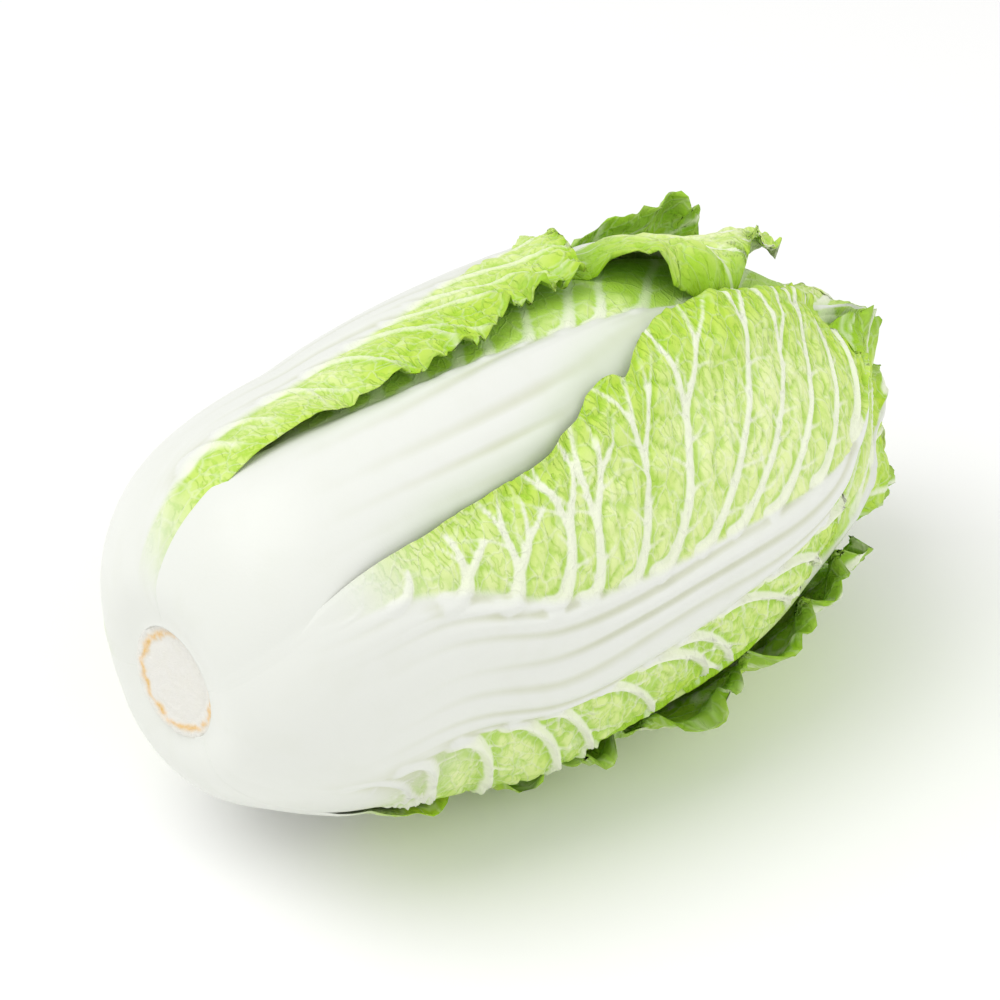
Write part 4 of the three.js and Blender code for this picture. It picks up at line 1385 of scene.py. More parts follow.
    def edge(self, u: Array, v: Array, fan: Array, left: Array, right: Array) -> tuple[Array, Array]:
        """Measures the way to the margin and along it.

        Args:
            u, v: places along the leaf and across it.
            fan: the columns, from -1 at the left margin to 1 at the right one.
            left, right: how far the margins reach at each row.

        Returns:
            The distance to the nearest margin and the distance travelled along it, in mm.
        """
        width = np.where(fan < 0, self.chart.half_blade(u, -1), self.chart.half_blade(u, 1))
        reach = np.where(fan < 0, left[:, None], right[:, None])
        distance = np.minimum((reach - np.abs(v)) * width, (1 - u) * self.length)
        turned = smoothstep(0.84, 1, u)
        along = u * self.length + (1 - np.abs(fan)) * width * reach * turned
        total = self.length + 0.5 * (width[:, :1] + width[:, -1:]) * reach[:, :1] * turned
        return distance, np.where(fan < 0, along, 2 * total - along)

    def ridged(self, a: Array, b: Array) -> Array:
        """Returns the height of the long ridges that the midrib's strands raise."""
        spacing, height = self.form.ridges
        long, wide, fading = self.RIDGE_WANDER
        base, swing = self.RIDGE_SIZES
        strand = b / spacing + 0.5 * self.noise.at(a / long, b / (wide * spacing))
        ridge = (0.5 + 0.5 * np.cos(2 * math.pi * strand)) ** self.RIDGE_POWER
        uneven = base + swing * self.noise.at(np.round(strand) * self.RIDGE_SEED, a / fading)
        return height * uneven * ridge * smoothstep(30, 120, a)

    def pleated(self, a: Array, b: Array) -> Array:
        """Returns the height of the leaf's pleats."""
        total = np.zeros_like(a)
        for a0, b0, a1, b1, height, width in self.form.pleats:
            run = math.hypot(a1 - a0, b1 - b0)
            dx, dy = (a1 - a0) / run, (b1 - b0) / run
            t = ((a - a0) * dx + (b - b0) * dy) / run
            off = ((a - a0) * -dy + (b - b0) * dx) / width
            fade = smoothstep(-0.15, 0.1, t) * (1 - smoothstep(0.6, 1.1, t))
            fold = np.where(off > 0, np.exp(-off), np.exp(self.PLEAT_STEEP * off))
            total += height * fade * fold * self.PLEAT_SHARE
        return total

    def whiteness(self, sigma: Array, edge: Array, ribs: Array, mask: Array) -> dict[str, Array]:
        """Works out how white the leaf and its veins are.

        Args:
            sigma: distance from the stem.
            edge: distance to the margin.
            ribs: 1 on the midrib.
            mask: 1 on the veins.

        Returns:
            Numbers from 0 to 1 by name.
        """
        share, most = self.PALE_IN
        pale = 1 - smoothstep(*self.form.greening, sigma - share * np.minimum(edge, most))
        ribbed = mix(self.form.ribbed, 1, smoothstep(*self.RIBBED_RUN, sigma))
        return {
            "white": np.maximum(ribs * ribbed, pale),
            "vein": mask * mix(self.form.veined, ribbed, ribs),
        }


def flank_of(sizes: HeadSizes, sigma: Array, phi: Array) -> Array:
    """Returns how much slimmer the butt end is at each place."""
    facing = np.maximum(0, np.cos(np.radians(phi - sizes.flank_phi)))
    slimmer = sizes.flank * facing**3 * smoothstep(*sizes.flank_starts, sigma)
    return slimmer * (1 - smoothstep(*sizes.flank_ends, sigma))


@dataclass(frozen=True)
class TopForm:
    """The top of one inner leaf, which comes out of the heart and curls over its tip.

    It comes from the side that turn gives, is width wide each way and ends past the pole.
    """

    name: str
    turn: float
    width: float
    past: float
    lift: float
    seed: int


TOPS = (
    TopForm("heart_top_inmost", 250, 40, 10, 7, 101),
    TopForm("heart_top_front", 95, 42, 3, 9, 103),
    TopForm("heart_top_back", 320, 46, -5, 8, 107),
    TopForm("heart_top_low", 195, 48, -10, 11, 109),
    TopForm("heart_top_back_outer", 255, 50, -24, 10, 113),
    TopForm("heart_top_front_outer", 150, 50, -28, 10, 127),
)


class LeafTop:
    """Builds the top of an inner leaf, in plane coordinates round the pole."""

    ROWS = 100
    COLUMNS = 96
    COVER = 170
    ROOT = 100.0
    SUNK = 3.0
    BLADE = 0.9
    THIN = 0.25
    THINS_OVER = 4.0
    CAD_BLADE = 1.5
    MIDRIB = 3.0
    MIDRIB_SHARE = 3
    ROOT_WIDTH = 0.6
    NARROWING = 0.9

    WAVES = (13, 5)
    LEAST_WAVE = 0.35

    FRILL = 4.2
    SPACING = 10.5
    TIP_BOW = 0.06
    RAGGED_SHARE = 0.06
    RAGGED_SCALES = (8, 19)
    RAGGED_ROWS = (20, 4)
    SPARE_EDGE = 1.04
    OTHER_SIDE = 137
    VEIN_HALF = 2.6
    VEIN_NARROWING = 0.6
    VEIN_EDGE = (0.7, 1.3)
    VEIN_HEIGHT = 1.6
    RELIEF_SHARES = (0.9, 1.6)
    ROOT_WHITENESS = 0.7

    def __init__(self, form: TopForm, index: int) -> None:
        """Keeps the form and its place in the order of wrapping."""
        self.form = form
        self.index = index
        self.noise = Noise(form.seed)
        self.length = self.ROOT + form.past

    def half_width(self, t: Array) -> Array:
        """Returns the half width at t, from 0 at the root to 1 at the tip."""
        narrowed = np.sqrt(1 - self.NARROWING * smoothstep(0.45, 1, t) ** 2)
        return self.form.width * (mix(self.ROOT_WIDTH, 1, smoothstep(0, 0.5, t)) * narrowed)

    def lie(self, t: Array, v: Array) -> tuple[Array, Array, Array, Array]:
        """Finds places on the top.

        Args:
            t, v: from 0 at the root to 1 at the tip, and from -1 to 1 across.

        Returns:
            Sigma before the pole, phi, and the place along and across in mm.
        """
        turn = math.radians(self.form.turn)
        along = mix(self.ROOT, -self.form.past, t)
        across = self.half_width(t) * v
        p = along * math.cos(turn) - across * math.sin(turn)
        q = along * math.sin(turn) + across * math.cos(turn)
        return np.hypot(p, q), np.degrees(np.arctan2(q, p)), along, across

    def heights(
        self, t: Array, v: Array, wrapping: Wrapping, free: Array
    ) -> tuple[Array, Array, Array, Array, Array]:
        """Finds both sides of the top, as its solid has them.

        Args:
            t, v: from 0 at the root to 1 at the tip, and from -1 to 1 across.
            wrapping: what it is wrapped round.
            free: grid of where it may lift and wave.

        Returns:
            Sigma, phi, the heights of the inner and the outer side, and where it is loose.
        """
        reach, phi, _, _ = self.lie(t, v)
        sigma = np.maximum(0, wrapping.profile.end - reach)
        far = np.maximum(smoothstep(0.4, 1, np.abs(v)), smoothstep(0.6, 1, t))
        edge = far * smoothstep(0.25, 0.6, t)
        along, across = self.WAVES
        wave = 0.5 + 0.5 * np.sin(along * t + across * v + self.index)
        loose = wrapping.share(free, sigma, phi)
        rise = loose * edge * self.form.lift * mix(self.LEAST_WAVE, 1, wave)
        above = wrapping.read(wrapping.sheet, sigma, phi) + wrapping.sizes.gap + rise
        under = wrapping.read(wrapping.heights, sigma, phi) - self.SUNK
        inner = mix(under, above, smoothstep(0.1, 0.4, t))
        midrib = self.MIDRIB * np.maximum(0, 1 - (self.MIDRIB_SHARE * v) ** 2) * (1 - t)
        return sigma, phi, inner, inner + self.CAD_BLADE + midrib, loose

    def wrap(self, wrapping: Wrapping, free: Array, fine: bool) -> LaidLeaf | None:
        """Adds the top to the wrapping.

        Args:
            wrapping: what it is wrapped round, which it is added to.
            free: grid of where it may lift and wave.
            fine: whether its surface is wanted too.

        Returns:
            Its surface, to be placed once all leaves are wrapped, or None.
        """
        wrapping.lay_sheet()
        made = self.surface(wrapping, free) if fine else None
        t, v = crossed(np.linspace(0, 1, self.COVER), np.linspace(-1, 1, self.COVER))
        sigma, phi, _, outer, _ = self.heights(t, v, wrapping, free)
        wrapping.add(sigma, phi, outer, outer)
        return made

    def half_midrib(self, a: float, side: int) -> float:
        """Returns the midrib's half width at a, the distance from the root."""
        return self.VEIN_HALF * (1 - self.VEIN_NARROWING * a / self.length)

    def half_leaf(self, a: float, side: int) -> float:
        """Returns the distance from the midrib to either margin at a."""
        return float(self.half_width(np.array(min(max(a / self.length, 0), 1))))

    def surface(self, wrapping: Wrapping, free: Array) -> LaidLeaf:
        """Makes the fine surface with its frills, veins and puckers.

        Args:
            wrapping: what it is wrapped round.
            free: grid of where it may lift and wave.

        Returns:
            The surface, to be placed once all leaves are wrapped.
        """
        fan = np.linspace(-1, 1, self.COLUMNS + 1)
        rows = np.linspace(0, 1, self.ROWS + 1)[:, None]
        t = rows - self.TIP_BOW * smoothstep(0.7, 1, rows) * fan**2
        side = np.sign(fan)
        (long, short), (row, step) = self.RAGGED_SCALES, self.RAGGED_ROWS
        ragged = self.noise.at(t * long, side * row) + 0.5 * self.noise.at(t * short, side * row + step)
        v = fan * (1 + self.RAGGED_SHARE * ragged * smoothstep(0.2, 0.5, t))
        sigma, phi, inner, outer, loose = self.heights(t, v, wrapping, free)
        _, _, a, b = self.lie(t, v)
        a = self.ROOT - a
        width = self.half_width(t)
        across = (self.SPARE_EDGE - np.abs(fan)) * width
        edge = np.maximum(0, np.minimum(across, (1 - rows) * self.length))
        along = a + (1 - np.abs(fan)) * width * smoothstep(0.75, 1, t)
        along = along + self.OTHER_SIDE * (side > 0)
        tissue = Tissue(self.noise, self.FRILL)
        frill, slide = tissue.frills(along, edge)
        net = VeinNet(self.form.seed, self.length, self, self.SPACING)
        half_vein = self.VEIN_HALF * (1 - self.VEIN_NARROWING * t)
        middle = 1 - smoothstep(*self.VEIN_EDGE, np.abs(b) / half_vein)
        vein = np.maximum(net.read(net.relief, a, b), self.VEIN_HEIGHT * middle)
        pucker = tissue.puckers(a, b, net.panels(a, b)) * (1 - middle)
        of_vein, of_pucker = self.RELIEF_SHARES
        relief = loose * smoothstep(0.12, 0.35, t) * (of_vein * vein + of_pucker * pucker)
        lifted = loose * frill * smoothstep(0.25, 0.5, t)
        outer, inner = outer + relief + lifted, inner + lifted
        root = 1 - smoothstep(0.08, 0.3, t)
        values = tissue.relief_values(relief, pucker, edge)
        values |= {"white": self.ROOT_WHITENESS * root, "shade": np.zeros_like(t)}
        values["vein"] = np.maximum(net.read(net.mask, a, b), middle)
        chart = tissue.woven(a, b, self.form.seed)
        risen = smoothstep(0.3, 0.5, t)
        slide = slide * loose * risen * (1 - smoothstep(0.8, 0.95, t))
        blade = mix(self.THIN, self.BLADE, smoothstep(0, self.THINS_OVER, edge))
        back, plain = -np.ones_like(t), np.zeros_like(t)
        return LaidLeaf(
            sigma, phi, inner, outer, slide, back, plain, loose * risen, blade, values, chart
        )


class Head:
    """The whole head: heart, inner tops and wrapper leaves, wrapped in order."""

    CORE_ROWS = 64
    CORE_COLUMNS = 96
    RELIEF = 0.9
    RELIEF_RUN = (0.1, 0.3)
    COVER_SPARE = 0.01

    def __init__(self, sizes: HeadSizes) -> None:
        """Lays out the profile, the leaves and the tops from the head's sizes."""
        self.sizes = sizes
        self.profile = Profile(sizes)
        self.leaves = [Leaf(form, self.profile) for form in LEAVES]
        self.tops = [LeafTop(form, k) for k, form in enumerate(TOPS)]
        self.covers = [self.cover_of(leaf) for leaf in self.leaves]

    def cover_of(self, leaf: Leaf) -> Array:
        """Returns a grid that is true where the leaf lies."""
        wrapping = Wrapping(self.profile)
        sigma, phi, _ = leaf.place(*leaf.cover(self.COVER_SPARE))
        grid = np.zeros_like(wrapping.heights, bool)
        grid[wrapping.cells(sigma, phi)] = True
        return grid

    def uncovered(self, index: int) -> Grids:
        """Finds what the leaves after one leave uncovered.

        Args:
            index: the leaf's place in the order of wrapping.

        Returns:
            What the leaf may do where.
        """
        sizes = self.sizes
        wrapping = Wrapping(self.profile)
        plain = np.ones_like(wrapping.heights)
        for cover in self.covers[index + 1:]:
            plain[cover] = 0
        wide = wrapping.filtered(plain, sizes.tuck, Combine.HIGHEST)
        return Grids(
            free=wrapping.softened(plain, sizes.clear_reach, sizes.clear_reach),
            bare=wrapping.filtered(wide, sizes.clear_reach, Combine.AVERAGE),
            open=wrapping.softened(plain, sizes.open_reach, sizes.open_reach),
            lit=wrapping.softened(plain, sizes.shade_reach, sizes.shade_blur),
        )

    def wrap_leaf(self, leaf: Leaf, wrapping: Wrapping, grids: Grids, fine: bool) -> LaidLeaf | None:
        """Adds one leaf to the wrapping.

        Args:
            leaf: the leaf.
            wrapping: what it is wrapped round.
            grids: what the leaf may do where.
            fine: whether its surface is wanted too.

        Returns:
            Its surface, to be placed once all leaves are wrapped, or None.
        """
        wrapping.lay_sheet()
        made = leaf.surface(wrapping, grids) if fine else None
        u, v = leaf.cover(leaf.SPARE)
        sigma, phi, _, _, outer = leaf.heights(u, v, wrapping, grids)
        relief = self.RELIEF * smoothstep(*self.RELIEF_RUN, u) + (self.sizes.blade - leaf.BLADE)
        wrapping.add(sigma, phi, outer + relief, outer)
        return made

    def fill_heart(self) -> Array:
        """Finds how high the heart's core is, from a trial in which no leaf stands free.

        Returns:
            Its grid of heights, with which the stack of leaves ends at the head's size.
        """
        trial = Wrapping(self.profile)
        held = np.zeros_like(trial.heights)
        for top in self.tops:
            top.wrap(trial, held, fine=False)
        for leaf in self.leaves:
            self.wrap_leaf(leaf, trial, Grids(held, held, held, held), fine=False)
        sizes = self.sizes
        sigma, phi = crossed(trial.sigma, trial.phi)
        target = mix(sizes.stack, sizes.tip_stack, smoothstep(*sizes.stack_falls, sigma))
        smooth = target - flank_of(sizes, sigma, phi) - trial.heights
        for _ in range(2):
            smooth = trial.filtered(smooth, sizes.heart_smoothing, Combine.AVERAGE)
        most = mix(sizes.heart_base, sizes.stack, smoothstep(0, sizes.heart_fills, sigma))
        least = mix(sizes.heart_least, -sizes.heart_dip, smoothstep(*sizes.heart_dips, sigma))
        return trial.level_pole(np.clip(smooth, least, most))

    def build(self) -> dict[str, bpy.types.Object]:
        """Wraps the head and makes its meshes.

        Returns:
            The objects by name: the core, the inner tops and the leaves.
        """
        core = self.fill_heart()
        wrapping = Wrapping(self.profile)
        wrapping.heights, wrapping.smooth = core.copy(), core.copy()
        free = self.uncovered(-1).free
        laid = {top.form.name: top.wrap(wrapping, free, fine=True) for top in self.tops}
        for index, leaf in enumerate(self.leaves):
            laid[leaf.form.name] = self.wrap_leaf(leaf, wrapping, self.uncovered(index), fine=True)
            LOG.info("wrapped %s", leaf.form.name)
        made = {"heart_core": self.core_mesh(core, wrapping)}
        for name, leaf in laid.items():
            made[name] = MeshMaker.sheet(name, leaf.placed(wrapping))
        return made

    def core_mesh(self, core: Array, wrapping: Wrapping) -> bpy.types.Object:
        """Makes the closed surface of the dense core that the inner tops come out of.

        Args:
            core: its grid of heights.
            wrapping: the head's wrapping with all its leaves.

        Returns:
            The core.
        """
        columns = np.arange(self.CORE_COLUMNS) * 360 / self.CORE_COLUMNS
        sigma, phi = crossed(np.linspace(0, self.profile.end, self.CORE_ROWS + 1)[:-1], columns)
        end, zero = np.array([0.0, self.profile.end]), np.zeros(2)
        rings = wrapping.pressed(sigma, phi, wrapping.read(core, sigma, phi)).reshape(-1, 3)
        poles = wrapping.pressed(end, zero, wrapping.read(core, end, zero))
        poles[0, 1:] = (0, self.sizes.axis_height)
        points = np.concatenate([rings, poles])
        values = dict.fromkeys(("vein", "hollow_shade", "edge", "panel", "shade"), np.zeros(len(points)))
        values["white"] = np.full(len(points), 0.5)
        uv = np.stack([phi / 360, sigma / self.profile.end], -1).reshape(-1, 2)
        uv = np.concatenate([uv, [[0, 0], [0, 1]]])
        quads, fans = MeshMaker.rings(self.CORE_ROWS, self.CORE_COLUMNS)
        return MeshMaker.build("heart_core", points, quads, fans, values, points, uv)


# ---- The stem ----


@dataclass(frozen=True)
class Stem:
    """The cut stem: a pale moist disc with a torn, browning rim. Sizes are in mm."""

    sizes: HeadSizes
    rings: int = 44
    sides: int = 160
    seed: int = 5
    rim: float = 3.2
    joined: float = 1.4
    sunk: float = 0.35
    grain: float = 1.6
    grain_height: float = 0.18
    tear: float = 3.4
    tear_heights: Pair = (0.55, 0.3)
    furrow: Pair = (0.5, 1.1)
    bevel: Pair = (1.5, 0.4)
    bevel_depth: float = 0.3
    shoulder: float = 0.8

    def ring(self, r: Array, torn: Array, rough: Array) -> Array:
        """Returns 1 on the ragged ring where the cut has dried, near the stem's edge."""
        off = (r - self.sizes.stem_radius + 0.7 * self.rim + 1.6 * torn) / (0.34 * self.rim)
        return np.exp(-(off**2)) * np.clip(0.8 + 0.8 * torn + 0.5 * rough, 0.25, 1)

    def relief(self, radius: float, r: Array, torn: Array, rough: Array) -> Array:
        """Works out how far the cut face stands out.

        Args:
            radius: of the stem.
            r: distance from the stem's middle.
            torn, rough: coarse and fine noise.

        Returns:
            The height at each place.
        """
        rim = smoothstep(radius - 2 * self.rim, radius - 0.6 * self.rim, r)
        high, low = self.tear_heights
        deep, wide = self.furrow
        furrow = np.exp(-(((r - radius + 2 * self.rim) / wide) ** 2)) * (0.5 + 0.5 * torn)
        return self.grain_height * rough + rim * (high * np.abs(torn) + low * rough) - deep * furrow

    def build(self) -> bpy.types.Object:
        """Makes the stem's mesh, its cut face finely modelled.

        Returns:
            The stem.
        """
        sizes, noise = self.sizes, Noise(self.seed)
        radius = sizes.stem_radius + self.joined
        bevel_in, bevel_out = self.bevel
        face = np.linspace(0, 1, self.rings + 1)[1:] * (radius - bevel_out)
        r, turn = crossed(face, np.arange(self.sides) * 2 * math.pi / self.sides)
        y, z = -r * np.sin(turn), r * np.cos(turn)
        rough = noise.layered(y / self.grain + 30, z / self.grain + 30)
        torn = noise.layered(y / self.tear + 60, z / self.tear + 60)
        edge = smoothstep(radius - bevel_in, radius - bevel_out, r)
        x = sizes.stem_depth + self.sunk - self.relief(radius, r, torn, rough)
        x = x + self.bevel_depth * edge**2
        x = x + sizes.stem_tilt_up * z - sizes.stem_tilt_front * y
        back = sizes.heart_start - sizes.stem_gap
        side_y, side_z = -radius * np.sin(turn[0]), radius * np.cos(turn[0])
        loops = [
            np.stack([x, y, z], -1).reshape(-1, 3),
            np.stack([x[-1] + self.shoulder, side_y, side_z], -1),
            np.stack([np.full_like(side_y, back), side_y, side_z], -1),
            np.array([[x[0].mean(), 0, 0], [back, 0, 0]]),
        ]
        shift = (-sizes.rest_x, 0, sizes.axis_height)
        points = np.concatenate(loops) + shift
        walls = np.ones(2 * self.sides)
        dried = [self.ring(r, torn, rough).reshape(-1), 0.25 * walls, [0, 0]]
        tears = [np.clip(0.5 + 0.5 * torn, 0, 1).reshape(-1), 0.5 * walls, [0.5, 0.5]]
        values = {"rim": np.concatenate(dried), "torn": np.concatenate(tears)}
        chart = points - shift
        uv = 0.5 + chart[:, 1:] / (2.1 * radius)
        quads, fans = MeshMaker.rings(self.rings + 2, self.sides)
        return MeshMaker.build("cut_stem", points, quads, fans, values, chart, uv)


# ---- Materials ----


def linear(red: float, green: float, blue: float) -> tuple[float, float, float, float]:
    """Turns a colour given as a screen shows it, from 0 to 255, into a light amount."""
    turn = lambda c: c / 12.92 if c <= 0.04045 else ((c + 0.055) / 1.055) ** 2.4
    return (*(turn(c / 255) for c in (red, green, blue)), 1.0)


class Value:
    """A number socket of a material, which Python's operators work on."""

    def __init__(self, shader: "Shader", socket: bpy.types.NodeSocket) -> None:
        """Wraps a socket."""
        self.shader = shader
        self.socket = socket

    def combined(self, operation: str, *others: "Value | float", clamp: bool = False) -> "Value":
        """Returns the result of a Math node on this value and others."""
        settings = {"operation": operation, "use_clamp": clamp}
        return self.shader.node("ShaderNodeMath", settings, dict(enumerate((self, *others))))

    def __add__(self, other: "Value | float") -> "Value":
        """Adds."""
        return self.combined("ADD", other)

    def __mul__(self, other: "Value | float") -> "Value":
        """Multiplies."""
        return self.combined("MULTIPLY", other)

    def __sub__(self, other: "Value | float") -> "Value":
        """Subtracts."""
        return self.combined("SUBTRACT", other)

    def __rsub__(self, other: float) -> "Value":
        """Subtracts this value from a number."""
        return self.shader.node("ShaderNodeMath", {"operation": "SUBTRACT"}, {0: other, 1: self})

    def __abs__(self) -> "Value":
        """Takes the size without the sign."""
        return self.combined("ABSOLUTE")

    __radd__ = __add__
    __rmul__ = __mul__

    def clamped(self) -> "Value":
        """Keeps the value between 0 and 1."""
        return self.combined("ADD", 0.0, clamp=True)

    def step(self, low: float, high: float) -> "Value":
        """Returns 0 below low, 1 above high and a smooth step between."""
        values = {"Value": self, "From Min": low, "From Max": high}
        return self.shader.node("ShaderNodeMapRange", {"interpolation_type": "SMOOTHSTEP"}, values)


class Shader:
    """A material under construction, with one Principled BSDF."""

    WARP_DETAIL = 2.0
    CREASE_DETAIL = 2.0
    CREASE_ROUGH = 0.45
    CREASE_WIDTH = 0.075

    def __init__(self, name: str) -> None:
        """Starts a material of this name."""
        self.material = bpy.data.materials.new(name)
        self.material.use_nodes = True
        self.tree = self.material.node_tree
        self.surface = self.tree.nodes["Principled BSDF"]

    def node(
        self, kind: str, settings: dict[str, Any] | None = None, values: dict[Any, Any] | None = None,
        output: int | str = 0,
    ) -> Value:
        """Adds a node.

        Args:
            kind: the node's type.
            settings: its properties, set first.
            values: numbers, colours or links for its sockets, by name or place.
            output: which output is wanted.

        Returns:
            That output.
        """
        made = self.tree.nodes.new(kind)
        for key, setting in (settings or {}).items():
            setattr(made, key, setting)
        for key, value in (values or {}).items():
            self.feed(made.inputs[key], value)
        return Value(self, made.outputs[output])

    def feed(self, socket: bpy.types.NodeSocket, value: Any) -> None:
        """Links a value to a socket, or sets the socket to a number or colour."""
        if isinstance(value, Value):
            self.tree.links.new(value.socket, socket)
        else:
            socket.default_value = value

    def attribute(self, name: str, output: str = "Fac") -> Value:
        """Reads one of the mesh's attributes."""
        return self.node("ShaderNodeAttribute", {"attribute_name": name}, output=output)

    def blend(self, factor: Any, first: Any, second: Any) -> Value:
        """Mixes two colours."""
        settings = {"data_type": "RGBA", "clamp_factor": True}
        return self.node("ShaderNodeMix", settings, {0: factor, 6: first, 7: second}, output=2)

    def noise(self, place: Value, scale: float, detail: float = 3.0, rough: float = 0.5) -> Value:
        """Returns smooth random values around 0.5."""
        values = {"Vector": place, "Scale": scale, "Detail": detail, "Roughness": rough}
        return self.node("ShaderNodeTexNoise", {}, values)

    def cells(self, place: Value, scale: float) -> Value:
        """Returns the distance to the borders of random cells."""
        values = {"Vector": place, "Scale": scale}
        return self.node("ShaderNodeTexVoronoi", {"feature": "DISTANCE_TO_EDGE"}, values, output="Distance")

    def vector(self, operation: str, values: dict[Any, Any]) -> Value:
        """Returns the result of a Vector Math node."""
        return self.node("ShaderNodeVectorMath", {"operation": operation}, values)

    def warped(self, place: Value, scale: float, amount: float) -> Value:
        """Returns a place moved a little at random."""
        values = {"Vector": place, "Scale": scale, "Detail": self.WARP_DETAIL}
        random = self.node("ShaderNodeTexNoise", {}, values, output="Color")
        centred = self.vector("SUBTRACT", {0: random, 1: (0.5, 0.5, 0.5)})
        return self.vector("ADD", {0: place, 1: self.vector("SCALE", {0: centred, "Scale": amount})})

    def creases(self, place: Value, turn: float, length: float, gap: float) -> Value:
        """Returns 1 on thin lines and 0 between them.

        Args:
            place: where.
            turn: the way the lines run, in radians.
            length: how long they are.
            gap: how far apart.

        Returns:
            The lines.
        """
        values = {"Vector": place, "Rotation": (0.0, 0.0, turn), "Scale": (length, gap, 1.0)}
        turned = self.node("ShaderNodeMapping", {"vector_type": "TEXTURE"}, values)
        random = self.noise(turned, 1.0, self.CREASE_DETAIL, self.CREASE_ROUGH)
        return 1 - abs(random - 0.5).step(0.0, self.CREASE_WIDTH)

    def finish(
        self, colour: Value, roughness: Any, height: Value, distance: float, **constants: Any
    ) -> None:
        """Connects the surface.

        Args:
            colour: its base colour.
            roughness: its roughness.
            height: its fine relief, from 0 to 1.
            distance: what a relief of 1 is, in metres.
            **constants: numbers for the shader's other sockets.
        """
        bump = self.node("ShaderNodeBump", {}, {"Strength": 1.0, "Distance": distance, "Height": height})
        self.feed(self.surface.inputs["Base Color"], colour)
        self.feed(self.surface.inputs["Roughness"], roughness)
        self.feed(self.surface.inputs["Normal"], bump)
        for key, value in constants.items():
            self.surface.inputs[key.replace("_", " ")].default_value = value


@dataclass(frozen=True)
class LeafFinish:
    """Leaf tissue: smooth white ribs, and green blades with a fine net of veins, with shade painted green
    into hollows, creases and under later leaves, and light painted on the puckers' tops.
    """

    name: str
    green: float
    wander_scale: float = 0.035
    patch_scale: float = 0.14
    warp: Pair = (0.25, 2.4)
    net_scale: float = 0.21
    net_width: float = 0.085
    creases: Triple = (-0.92, 9.0, 2.5)
    grain: Triple = (1.7, 2.0, 0.6)
    depth: float = 0.00045
    pale: Triple = (228, 240, 172)
    fresh: Triple = (184, 219, 44)
    deep: Triple = (132, 178, 2)
    # Painted shade: the saturated green that hollows, creases and the shade under later leaves turn to.
    shade_green: Triple = (154, 205, 2)
    vein: Triple = (240, 244, 222)
    rib: Triple = (229, 231, 224)
    # Painted shade in the midrib's hollows, with a little random tone from the patches.
    groove_shade_and_tone: Triple = (208, 211, 188)

    def make(self) -> bpy.types.Material:
        """Builds the material.

        Returns:
            The material.
        """
        shader = Shader(self.name)
        place = shader.attribute("chart", "Vector")
        white, vein, hollow_shade = (shader.attribute(key) for key in ("white", "vein", "hollow_shade"))
        edge, panel, shade = (shader.attribute(key) for key in ("edge", "panel", "shade"))
        wander = shader.noise(place, self.wander_scale, 1.0)
        patches = shader.noise(place, self.patch_scale, 1.0)
        bent = shader.warped(place, *self.warp)
        net = 1 - shader.cells(bent, self.net_scale).step(0.0, self.net_width)
        creases = shader.creases(bent, *self.creases)
        creases = creases * (0.3 + 1.2 * edge).clamped() * (1 - 0.85 * vein)
        amount = (self.green * (0.2 + 1.1 * edge) + 0.55 * (wander - 0.5) + 0.3 * (patches - 0.5)).clamped()
        blade = shader.blend(amount.step(0.0, 0.55), linear(*self.pale), linear(*self.fresh))
        blade = shader.blend(amount.step(0.5, 1.15), blade, linear(*self.deep))
        # Painted shade: sunk places of the blade turn towards the shade green.
        blade = shader.blend(hollow_shade * 0.6, blade, linear(*self.shade_green))
        # Painted shade: the crease lines, which also sink the bump, are coloured towards the shade green.
        blade = shader.blend(creases * 0.72, blade, linear(*self.shade_green))
        # Painted light: the tops of the puckers are turned paler.
        blade = shader.blend(panel * 0.22, blade, linear(*self.pale))
        blade = shader.blend(net * (0.32 - 0.16 * edge), blade, linear(*self.vein))
        blade = shader.blend(vein.step(0.08, 0.62) * 0.94, blade, linear(*self.vein))
        # Painted shade: sunk places of the midrib turn to the grey groove colour, and random patches add a
        # little tone.
        rib = shader.blend(hollow_shade * 0.9 + 0.25 * (patches - 0.5), linear(*self.rib), linear(*self.groove_shade_and_tone))
        colour = shader.blend(white.step(0.05, 0.95), blade, rib)
        # Painted shade: where later leaves shade this one, the colour turns to the shade green, less on the
        # veins.
        colour = shader.blend(shade * (0.75 - 0.35 * vein), colour, linear(*self.shade_green))
        smooth = white.step(0.3, 1.0)
        roughness = 0.5 - 0.16 * smooth + 0.12 * (patches - 0.5)
        grain = shader.noise(place, *self.grain)
        height = (1 - smooth) * (0.3 * net + 0.3 * grain - 0.55 * creases) + 0.12 * grain
        shader.finish(colour, roughness, height, self.depth, IOR=1.42, Specular_IOR_Level=0.36)
        return shader.material


@dataclass(frozen=True)
class StemFinish:
    """The cut stem: moist cream flesh and a torn tan rim."""

    flesh: Triple = (238, 237, 232)
    core: Triple = (235, 233, 222)
    tan: Triple = (250, 208, 150)
    brown: Triple = (222, 180, 70)
    patch_scale: float = 0.22
    specks: Triple = (1.3, 4.0, 0.65)
    grain_scale: float = 4.0
    depth: float = 0.0005

    def make(self) -> bpy.types.Material:
        """Builds the material.

        Returns:
            The material.
        """
        shader = Shader("cut_stem_flesh")
        place = shader.attribute("chart", "Vector")
        rim, torn = shader.attribute("rim"), shader.attribute("torn")
        patches = shader.noise(place, self.patch_scale)
        specks = shader.noise(place, *self.specks)
        flesh = shader.blend(patches, linear(*self.flesh), linear(*self.core))
        browned = (torn * 0.8 + specks * 0.7 - 0.45).clamped()
        skin = shader.blend(browned, linear(*self.tan), linear(*self.brown))
        colour = shader.blend((rim * (0.45 + 0.9 * specks)).clamped(), flesh, skin)
        height = specks * 0.7 + 0.3 * shader.noise(place, self.grain_scale)
        shader.finish(colour, 0.55 + 0.2 * rim, height, self.depth)
        return shader.material


